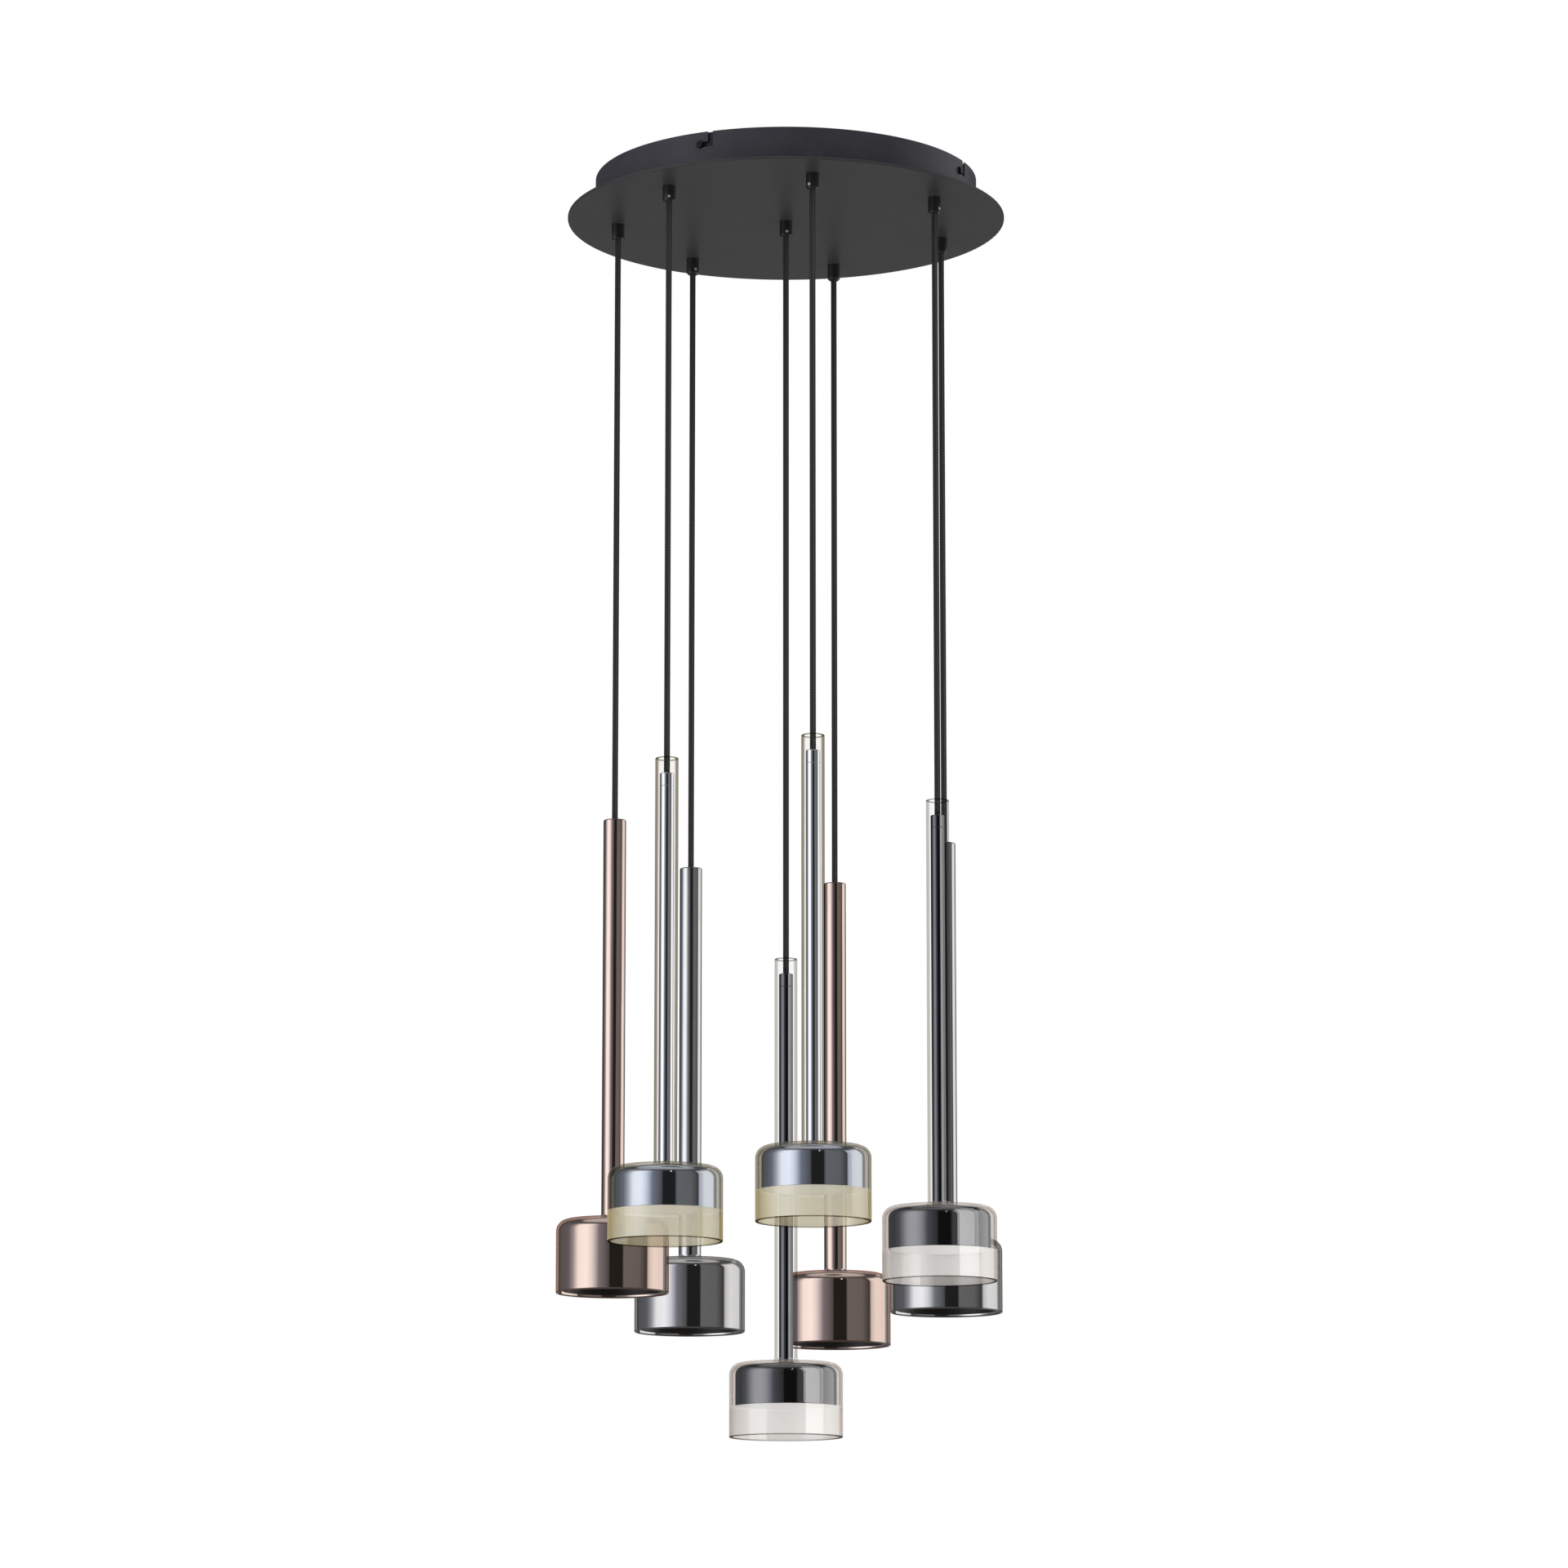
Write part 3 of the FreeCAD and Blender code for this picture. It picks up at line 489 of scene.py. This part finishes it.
materials = {
    "canopy_black": material(
        "satin_black_coat",
        {"Specular IOR Level": 0.15},
        powder_coat((0.038, 0.036, 0.038), (0.055, 0.053, 0.055)),
    ),
    "grip_black": material(
        "black_turned_metal", {"Specular IOR Level": 0.6}, turned_black
    ),
    "black_screws": material("black_zinc", {"Metallic": 0.6}, turned_black),
    "bright_steel": material(
        "bright_steel", {"Metallic": 0.6, "Base Color": (0.80, 0.80, 0.80, 1)}, machined
    ),
    # The bracket is near black: painted shade, as it shows only through the pan's
    # slots, in the dark inside the canopy.
    "bracket_steel": material(
        "shaded_black_strip",
        {"Specular IOR Level": 0.2},
        powder_coat(grey(0.010), grey(0.016)),
    ),
    "earth_brass": material(
        "brass", {"Metallic": 1.0, "Base Color": (0.78, 0.60, 0.29, 1)}, machined
    ),
    "black_textile": material("black_braid", {"Specular IOR Level": 0.3}, braid),
    "hub_plastic": material(
        "pale_plastic", {}, moulded((0.66, 0.66, 0.63), (0.74, 0.74, 0.72))
    ),
    "driver_plastic": material(
        "white_plastic", {}, moulded((0.76, 0.76, 0.74), (0.84, 0.84, 0.82))
    ),
    "black_chrome": mirror(
        "black_chrome", (0.145, 0.145, 0.155), (0.185, 0.185, 0.195)
    ),
    "chrome": mirror("chrome", (0.58, 0.64, 0.82), (0.64, 0.71, 0.90)),
    "smoke_chrome": mirror("smoke_chrome", (0.88, 0.88, 0.89), (0.96, 0.96, 0.97)),
    "copper_mirror_metal": mirror(
        "copper_mirror", (0.96, 0.85, 0.80), (1.0, 0.90, 0.85)
    ),
    "board_white": material("solder_resist", {}, solder_resist),
    "opal": material(
        "opal",
        {"Subsurface Weight": 0.6, "Subsurface Radius": (0.004, 0.004, 0.0035)},
        satin_opal,
    ),
    **{f"glass_{finish}": outer for finish, outer in GLASS.items()},
    "seat": material(
        "silicone",
        {"Transmission Weight": 0.5},
        moulded((0.80, 0.80, 0.79), (0.86, 0.86, 0.85)),
    ),
}
STEM_CHROME = mirror("stem_chrome", (0.86, 0.88, 0.93), (0.92, 0.94, 0.99))
# A darker, bluer copy of the canopy's coat: painted shade on the pan's upright side.
SHADED_PAN_COAT = material(
    "shaded_pan_coat",
    {"Specular IOR Level": 0.25},
    powder_coat((0.031, 0.031, 0.041), (0.048, 0.048, 0.060)),
)
TUBE_FINISHES = {
    "clear": inner_glass("clear_tube", CLEAR_TUBE),
    "champagne": inner_glass("champagne_tube", CHAMPAGNE_TUBE),
    "smoke": mirror("silvered_smoke", grey(0.66), grey(0.74), 0.4),
    "copper": mirror("silvered_copper", (0.76, 0.59, 0.52), (0.84, 0.66, 0.58), 0.3),
}
# Painted shade on the rims: the clear and champagne lips are darker glass, and the
# smoke and copper shades get an opaque dark band above their rims.
CLEAR_RIM_SHADE = thickening((0.50, 0.49, 0.48), THIN_EDGE)
CHAMPAGNE_RIM_SHADE = thickening((0.42, 0.39, 0.31), THIN_EDGE)
SHADED_RIMS = {
    "clear": inner_glass("clear_rim", CLEAR_RIM_SHADE),
    "champagne": inner_glass("champagne_rim", CHAMPAGNE_RIM_SHADE),
    "smoke": shaded_rim("smoke_rim", grey(0.05), grey(0.08)),
    "copper": shaded_rim("copper_rim", (0.07, 0.04, 0.03), (0.11, 0.07, 0.055)),
}
CLEAR_BORE = inner_glass("clear_bore", thickening((0.97, 0.965, 0.955), THIN_EDGE))
# Painted shade: a near-black coat for the inside of a deep cup, which is dark only
# because no light gets in.
PAINTED_SHADE_INSIDE = material(
    "painted_shade_inside",
    {"Specular IOR Level": 0.3},
    powder_coat((0.010, 0.007, 0.006), (0.018, 0.013, 0.011)),
)

# Meshes

# The pieces that the side panel lights.
clear_pieces = bpy.data.collections.new("clear_pieces")


def new_piece(name, mesh, body, slot, *others):
    """A piece that takes a slot's material, and others for its marked faces."""
    for finish in (materials[slot], *others):
        mesh.materials.append(finish)
    piece = bpy.data.objects.new(name, mesh)
    bpy.context.collection.objects.link(piece)
    # The pendants don't mirror one another, as each was lit on its own.
    piece.visible_glossy = not body.startswith("pendant")
    if slot in ("black_chrome", "glass_clear"):
        clear_pieces.objects.link(piece)
    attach(piece, body)
    slot if slot != "seat" else "opal"
    return piece


def arc(cx, cy, radius, start, end, steps):
    """Points on an arc from one angle to another, in degrees."""
    angles = [math.radians(start + (end - start) * i / steps) for i in range(steps + 1)]
    return [(cx + radius * math.cos(a), cy + radius * math.sin(a)) for a in angles]


def upright(radius, low, high, steps, margin=0.3):
    """Points up or down a straight wall, the first and last a margin off its ends."""
    beside = margin / abs(high - low)
    shares = [beside, *(i / steps for i in range(1, steps)), 1 - beside]
    return [(radius, low + (high - low) * share) for share in shares]


def band(shape, ring, after):
    """Smooth faces all the way round between two rings of points."""
    faces = []
    for step in range(len(ring)):
        beside = (step + 1) % len(ring)
        corners = (ring[step], ring[beside], after[beside], after[step])
        faces.append(shape.faces.new(corners))
        faces[-1].smooth = True
    return faces


def closed_mesh(name, shape):
    mesh = bpy.data.meshes.new(name)
    bmesh.ops.recalc_face_normals(shape, faces=shape.faces)
    shape.to_mesh(mesh)
    shape.free()
    return mesh


def lathe(name, profile, x, y, base, around=128, finish_at=None, wobble=0.0):
    """A closed profile of radius and height, in millimetres, turned about an upright
    axis. finish_at(index, radius, height) gives the number of the material there."""
    shape = bmesh.new()
    rings = []
    for radius, height in profile:
        ring = []
        for step in range(around):
            angle = math.tau * step / around
            reach = radius
            if wobble:
                spot = Vector((math.cos(angle), math.sin(angle), height / 60))
                reach += wobble * noise.noise(spot * 1.3 + Vector((x, y, base)))
            east = (x + reach * math.cos(angle)) * MM
            north = (y + reach * math.sin(angle)) * MM
            ring.append(shape.verts.new((east, north, (base + height) * MM)))
        rings.append(ring)
    for index, ring in enumerate(rings):
        after = rings[(index + 1) % len(rings)]
        (r1, h1), (r2, h2) = profile[index], profile[(index + 1) % len(profile)]
        finish = finish_at(index, (r1 + r2) / 2, (h1 + h2) / 2) if finish_at else 0
        for face in band(shape, ring, after):
            face.material_index = finish
    return closed_mesh(name, shape)


def spline(points):
    """Points along the smooth line that these control points pull, in metres."""
    curve = bpy.data.curves.new("route", "CURVE")
    curve.dimensions = "3D"
    curve.resolution_u = 12
    line = curve.splines.new("NURBS")
    line.points.add(len(points) - 1)
    for point, place in zip(line.points, points):
        point.co = (*place, 1)
    line.order_u = 3
    line.use_endpoint_u = True
    holder = bpy.data.objects.new("route", curve)
    mesh = bpy.data.meshes.new_from_object(holder)
    path = [v.co.copy() for v in mesh.vertices]
    bpy.data.objects.remove(holder)
    bpy.data.curves.remove(curve)
    bpy.data.meshes.remove(mesh)
    return path


def tube(name, path, radius, domed=True, around=28):
    """A round tube along a path, with a weave map of turns and metres, and if wanted a
    domed first end."""
    lengths = [0.0]
    for a, b in zip(path, path[1:]):
        lengths.append(lengths[-1] + (b - a).length)
    first = (path[1] - path[0]).normalized()
    stations = []
    if domed:
        dome = [(math.sin(t), math.cos(t)) for t in (0.25, 0.6, 1.0, 1.3)]
        stations = [(path[0] - first * radius * c, s, -radius * c) for s, c in dome]
    stations += [(point, 1.0, length) for point, length in zip(path, lengths)]
    side = Vector((0, 0, 1)).cross(first)
    if side.length < 0.1:
        side = Vector((1, 0, 0))
    shape = bmesh.new()
    weave = shape.loops.layers.uv.new("weave")
    rings = []
    for index, (centre, share, _) in enumerate(stations):
        before = stations[max(index - 1, 0)][0]
        beyond = stations[min(index + 1, len(stations) - 1)][0]
        along = (beyond - before).normalized()
        side = (side - along * side.dot(along)).normalized()
        other = along.cross(side)
        ring = []
        for step in range(around):
            angle = math.tau * step / around
            out = side * math.cos(angle) + other * math.sin(angle)
            ring.append(shape.verts.new(centre + out * radius * share))
        rings.append(ring)
    for index, (ring, after) in enumerate(zip(rings, rings[1:])):
        low, high = stations[index][2], stations[index + 1][2]
        for step, face in enumerate(band(shape, ring, after)):
            corners = ((step, low), (step + 1, low), (step + 1, high), (step, high))
            for loop, (turn, length) in zip(face.loops, corners):
                loop[weave].uv = (turn / around, length)
    for ring in (rings[0], rings[-1]):
        shape.faces.new(ring)
    return closed_mesh(name, shape)


# Cords


def axis_of(number):
    if number == MIDDLE:
        return 0.0, 0.0
    angle = math.radians(RING_PHASE + RING_PLACES[number] * 360 / len(RING_PLACES))
    return RING_RADIUS * math.cos(angle), RING_RADIUS * math.sin(angle)


def metres(*points):
    """Points in millimetres as vectors in metres."""
    return [Vector(point) * MM for point in points]


def hanging_cord(number):
    x, y = axis_of(number)
    end = PLATE_UNDERSIDE - DROPS[number] - CAP_RECESS - CORD_DEPTH
    path = spline(metres((x, y, PIVOT), (x, y, (PIVOT + end) / 2), (x, y, end)))
    mesh = tube(f"cord_{number}_braid", path, CORD_RADIUS * MM)
    body = f"drop_{number}"
    piece = new_piece(f"cord_{number}_braid", mesh, body, "black_textile")
    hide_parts(f"cord_{number}")
    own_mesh(piece)


def cord_tail(number):
    """The cord's end in the canopy: up through its grip and into the wiring hub."""
    x, y = axis_of(number)
    low = PIVOT + TAIL_START
    if number == MIDDLE:
        high = PLATE_UNDERSIDE + SHANK_TOP + CENTRE_TAIL_RISE
        route = [(x, y, low), (x, y, (low + high) / 2), (x, y, high)]
    else:
        inward = 1 - TAIL_BEND / RING_RADIUS
        near, end = (x * inward, y * inward), TAIL_END / RING_RADIUS
        route = [(x, y, low), (x, y, TAIL_LEVEL - TAIL_BEND), (x, y, TAIL_LEVEL)]
        route += [(*near, TAIL_LEVEL), (x * end, y * end, TAIL_LEVEL)]
    path = spline(metres(*route))
    mesh = tube(f"cord_tail_{number}", path, CORD_RADIUS * MM, domed=False)
    piece = new_piece(f"cord_tail_{number}", mesh, "canopy", "black_textile")
    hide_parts("cord_tails")


# Pendants


# The places of a glass's materials.
OUTSIDE, INSIDE, TUBE_OUTSIDE, BORE, RIM, MILKY = range(6)


def glass(number, finish, place):
    """Tube and shade in one piece, fire-polished at both rims."""
    lip = GLASS_WALL / 2
    bore, inside = TUBE_RADIUS - GLASS_WALL, SHADE_RADIUS - GLASS_WALL
    ceiling = SHADE_HEIGHT - GLASS_WALL
    turn, flare = SHOULDER - GLASS_WALL, FLARE + GLASS_WALL
    profile = arc(SHADE_RADIUS - lip, lip, lip, -180, 0, 8)
    profile += upright(SHADE_RADIUS, lip, VEIL_TOP, 4)
    profile += [(SHADE_RADIUS, VEIL_TOP)]
    profile += upright(SHADE_RADIUS, VEIL_TOP, SHADE_HEIGHT - SHOULDER, 4)
    round_x, round_y = SHADE_RADIUS - SHOULDER, SHADE_HEIGHT - SHOULDER
    profile += arc(round_x, round_y, SHOULDER, 0, 90, 14)
    profile += arc(TUBE_RADIUS + FLARE, SHADE_HEIGHT + FLARE, FLARE, -90, -180, 10)
    profile += upright(TUBE_RADIUS, SHADE_HEIGHT + FLARE, GLASS_LENGTH - lip, 40)
    profile += arc(TUBE_RADIUS - lip, GLASS_LENGTH - lip, lip, 0, 180, 8)
    outer_faces = len(profile) - 1
    profile += upright(bore, GLASS_LENGTH - lip, ceiling + flare, 40)
    profile += arc(bore + flare, ceiling + flare, flare, 180, 270, 10)
    profile += arc(inside - turn, ceiling - turn, turn, 90, 0, 14)
    profile += upright(inside, ceiling - turn, lip, 8)
    others = [INSIDES[finish], TUBE_FINISHES[finish], CLEAR_BORE, SHADED_RIMS[finish]]
    others += [BELOW_CUP[finish]]
    rim = DEEP_CUP_RIM + RIM_SHADE_BAND if finish in MIRRORED else lip

    def finish_at(index, _, height):
        outer = index < outer_faces
        # Both rims take the painted shade.
        if height < rim or height > GLASS_LENGTH - lip:
            return RIM
        if height > SHADE_HEIGHT + FLARE - 0.5:
            return TUBE_OUTSIDE if outer else BORE
        if outer and height < VEIL_TOP:
            return MILKY
        return OUTSIDE if outer else INSIDE

    mesh = lathe(
        f"glass_{number}_blown", profile, *place, finish_at=finish_at, wobble=WOBBLE
    )
    body, slot = f"pendant_{number}", f"glass_{finish}"
    piece = new_piece(f"glass_{number}_blown", mesh, body, slot, *others)
    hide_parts(f"glass_{number}")


def cup(number, finish, place):
    """Spun light housing. In mirror glass its wall runs nearly to the shade's rim."""
    deep = finish in MIRRORED
    face = CUP_TOP - CUP_HEIGHT
    mouth = DEEP_CUP_RIM if deep else face
    bore, ledge = CUP_RADIUS - CUP_WALL, face + DIFFUSER
    thin, ceiling = bore + REBATE, CUP_TOP - CUP_WALL
    turn = CUP_SHOULDER - CUP_WALL
    lip = (CUP_RADIUS - thin) / 2
    profile = arc(CUP_RADIUS - lip, mouth + lip, lip, -180, 0, 8)
    profile += upright(CUP_RADIUS, mouth + lip, CUP_TOP - CUP_SHOULDER, 6)
    round_x, round_y = CUP_RADIUS - CUP_SHOULDER, CUP_TOP - CUP_SHOULDER
    profile += arc(round_x, round_y, CUP_SHOULDER, 0, 90, 14)
    eased = STEM_RADIUS + BROKEN_EDGE
    profile += [(eased, CUP_TOP), (STEM_RADIUS, CUP_TOP - BROKEN_EDGE)]
    profile += [(STEM_RADIUS, ceiling + BROKEN_EDGE), (eased, ceiling)]
    profile += arc(bore - turn, ceiling - turn, turn, 90, 0, 10)
    profile += [(bore, ledge + 0.15), (bore + 0.15, ledge), (thin - 0.02, ledge)]
    profile += [(thin, ledge - 0.1)] + upright(thin, ledge - 0.1, mouth + lip, 4)

    # The deep cup's inner wall and lower lip take the painted shade.
    def finish_at(_, radius, height):
        inner = radius < thin + 0.1 and height < face
        return int(deep and (inner or height < mouth + lip))

    mesh = lathe(f"cup_{number}_spun", profile, *place, around=160, finish_at=finish_at)
    body, others = f"pendant_{number}", [PAINTED_SHADE_INSIDE] if deep else []
    piece = new_piece(f"cup_{number}_spun", mesh, body, METALS[finish], *others)
    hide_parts(f"cup_{number}")


def stem(number, finish, place):
    """Stem tube, its cap with the cord's socket, and the domed nut on the cup."""
    ceiling, bore = CUP_TOP - CUP_WALL, STEM_RADIUS - STEM_WALL
    tube_profile = [(STEM_RADIUS, ceiling)]
    tube_profile += upright(STEM_RADIUS, ceiling, CAP_BASE, 30)
    tube_profile += [(STEM_RADIUS, CAP_BASE - 0.1), (STEM_RADIUS - 0.1, CAP_BASE)]
    tube_profile += [(bore, CAP_BASE), (bore, ceiling)]
    socket, wire = CORD_RADIUS + CORD_PLAY, WIRE_HOLE_RADIUS
    floor = CAP_TOP - CORD_DEPTH - CORD_PLAY
    plug, plug_base = bore - 0.05, CAP_BASE - PLUG_DEPTH
    cap_profile = [(wire, plug_base), (plug, plug_base), (plug, CAP_BASE)]
    cap_profile += [(STEM_RADIUS - CAP_JOINT, CAP_BASE + 0.02)]
    cap_profile += [(STEM_RADIUS, CAP_BASE + CAP_JOINT)]
    cap_profile += upright(STEM_RADIUS, CAP_BASE + CAP_JOINT, CAP_TOP - CAP_EDGE, 2)
    cap_profile += arc(STEM_RADIUS - CAP_EDGE, CAP_TOP - CAP_EDGE, CAP_EDGE, 0, 90, 8)
    cap_profile += arc(socket + 0.25, CAP_TOP - 0.25, 0.25, 90, 180, 5)
    cap_profile += [(socket, floor), (wire, floor)]
    nut_bore, nut_top, dome = STEM_RADIUS + 0.05, CUP_TOP + HUB_NUT_HEIGHT, 1.7
    dome_base = CUP_TOP + HUB_NUT_SKIRT + 0.2
    nut_profile = [(nut_bore, CUP_TOP), (HUB_NUT_RADIUS - BROKEN_EDGE, CUP_TOP)]
    nut_profile += [(HUB_NUT_RADIUS, CUP_TOP + h) for h in (BROKEN_EDGE, 1.0)]
    nut_profile += arc(HUB_NUT_RADIUS - dome, dome_base, dome, 0, 62, 8)
    nut_profile += [(nut_bore + 0.25, nut_top - 0.15), (nut_bore, nut_top)]
    for label, profile in (
        ("stem_tube", tube_profile),
        ("stem_cap", cap_profile),
        ("hub_nut", nut_profile),
    ):
        name, body = f"{label}_{number}", f"pendant_{number}"
        mesh = lathe(name, profile, *place, around=96)
        piece = new_piece(name, mesh, body, METALS[finish])
        if finish == "champagne":
            mesh.materials[0] = STEM_CHROME
        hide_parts(f"stem_{number}")


def seat(number, place):
    """Thin silicone ring on the cup, on which the glass rests. It stops just short of
    the glass, so that their faces don't flicker through each other."""
    low, high = CUP_TOP, CUP_TOP + SEAT - SEAT_GAP
    middle, bulge = low + 0.3, 0.2
    profile = [(SEAT_INNER, low), (SEAT_OUTER, low), (SEAT_OUTER + bulge, middle)]
    profile += [(SEAT_OUTER, high), (SEAT_INNER, high), (SEAT_INNER - bulge, middle)]
    mesh = lathe(f"seat_{number}", profile, *place, around=96)
    new_piece(f"seat_{number}", mesh, f"pendant_{number}", "seat")


for number, finish in FINISHES.items():
    hanging_cord(number)
    cord_tail(number)
    place = (*axis_of(number), PLATE_UNDERSIDE - DROPS[number] - GLASS_LENGTH)
    glass(number, finish, place)
    cup(number, finish, place)
    stem(number, finish, place)
    seat(number, place)

# The part's own solids that stay, and their slots
CARRIED_OVER = {
    "canopy_plate": "canopy_black",
    "canopy_pan": "canopy_black",
    "cord_grips": "grip_black",
    "grub_screws": "bright_steel",
    "grip_nuts": "bright_steel",
    "canopy_screws": "black_screws",
    "ceiling_bracket": "bracket_steel",
    "wiring_hub": "hub_plastic",
    "led_driver": "driver_plastic",
    "driver_screws": "bright_steel",
    "earth_post": "earth_brass",
    **{f"led_board_{number}": "board_white" for number in FINISHES},
    **{f"diffuser_{number}": "opal" for number in FINISHES},
}
for node, slot in CARRIED_OVER.items():
    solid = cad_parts[node]
    for holder in solid.material_slots:
        # The pan takes the shaded copy of its slot's coat.
        holder.material = SHADED_PAN_COAT if node == "canopy_pan" else materials[slot]
    solid.visible_glossy = not node.startswith(("led_board", "diffuser"))

# Side panel and floor, in metres and watts
PANEL_WIDTH, PANEL_HEIGHT, PANEL_POWER = 3.3, 4.6, 84
PANEL_PLACE, PANEL_TARGET = Vector((3.5, -1.95, 0.2)), Vector((0.1, 0, -1.0))
FLOOR_REACH, FLOOR_LEVEL = 14, -2.65

panel_light = bpy.data.lights.new("side_panel", "AREA")
panel_light.shape = "RECTANGLE"
panel_light.size, panel_light.size_y = PANEL_WIDTH, PANEL_HEIGHT
panel_light.energy = PANEL_POWER
panel = bpy.data.objects.new("side_panel", panel_light)
panel.location = PANEL_PLACE
aim = PANEL_TARGET - PANEL_PLACE
panel.rotation_euler = aim.to_track_quat("-Z", "Y").to_euler()
panel.visible_camera = False
panel.visible_transmission = False
bpy.context.collection.objects.link(panel)
panel.light_linking.receiver_collection = clear_pieces

floor_mesh = bpy.data.meshes.new("floor")
shape = bmesh.new()
bmesh.ops.create_grid(shape, x_segments=1, y_segments=1, size=FLOOR_REACH)
bmesh.ops.translate(shape, verts=shape.verts, vec=(0, 0, FLOOR_LEVEL))
shape.to_mesh(floor_mesh)
shape.free()
floor_mesh.materials.append(
    material("pale_floor", {"Roughness": 0.9, "Base Color": (0.86, 0.86, 0.85, 1)})
)
floor = bpy.data.objects.new("floor", floor_mesh)
bpy.context.collection.objects.link(floor)
floor.visible_glossy = False
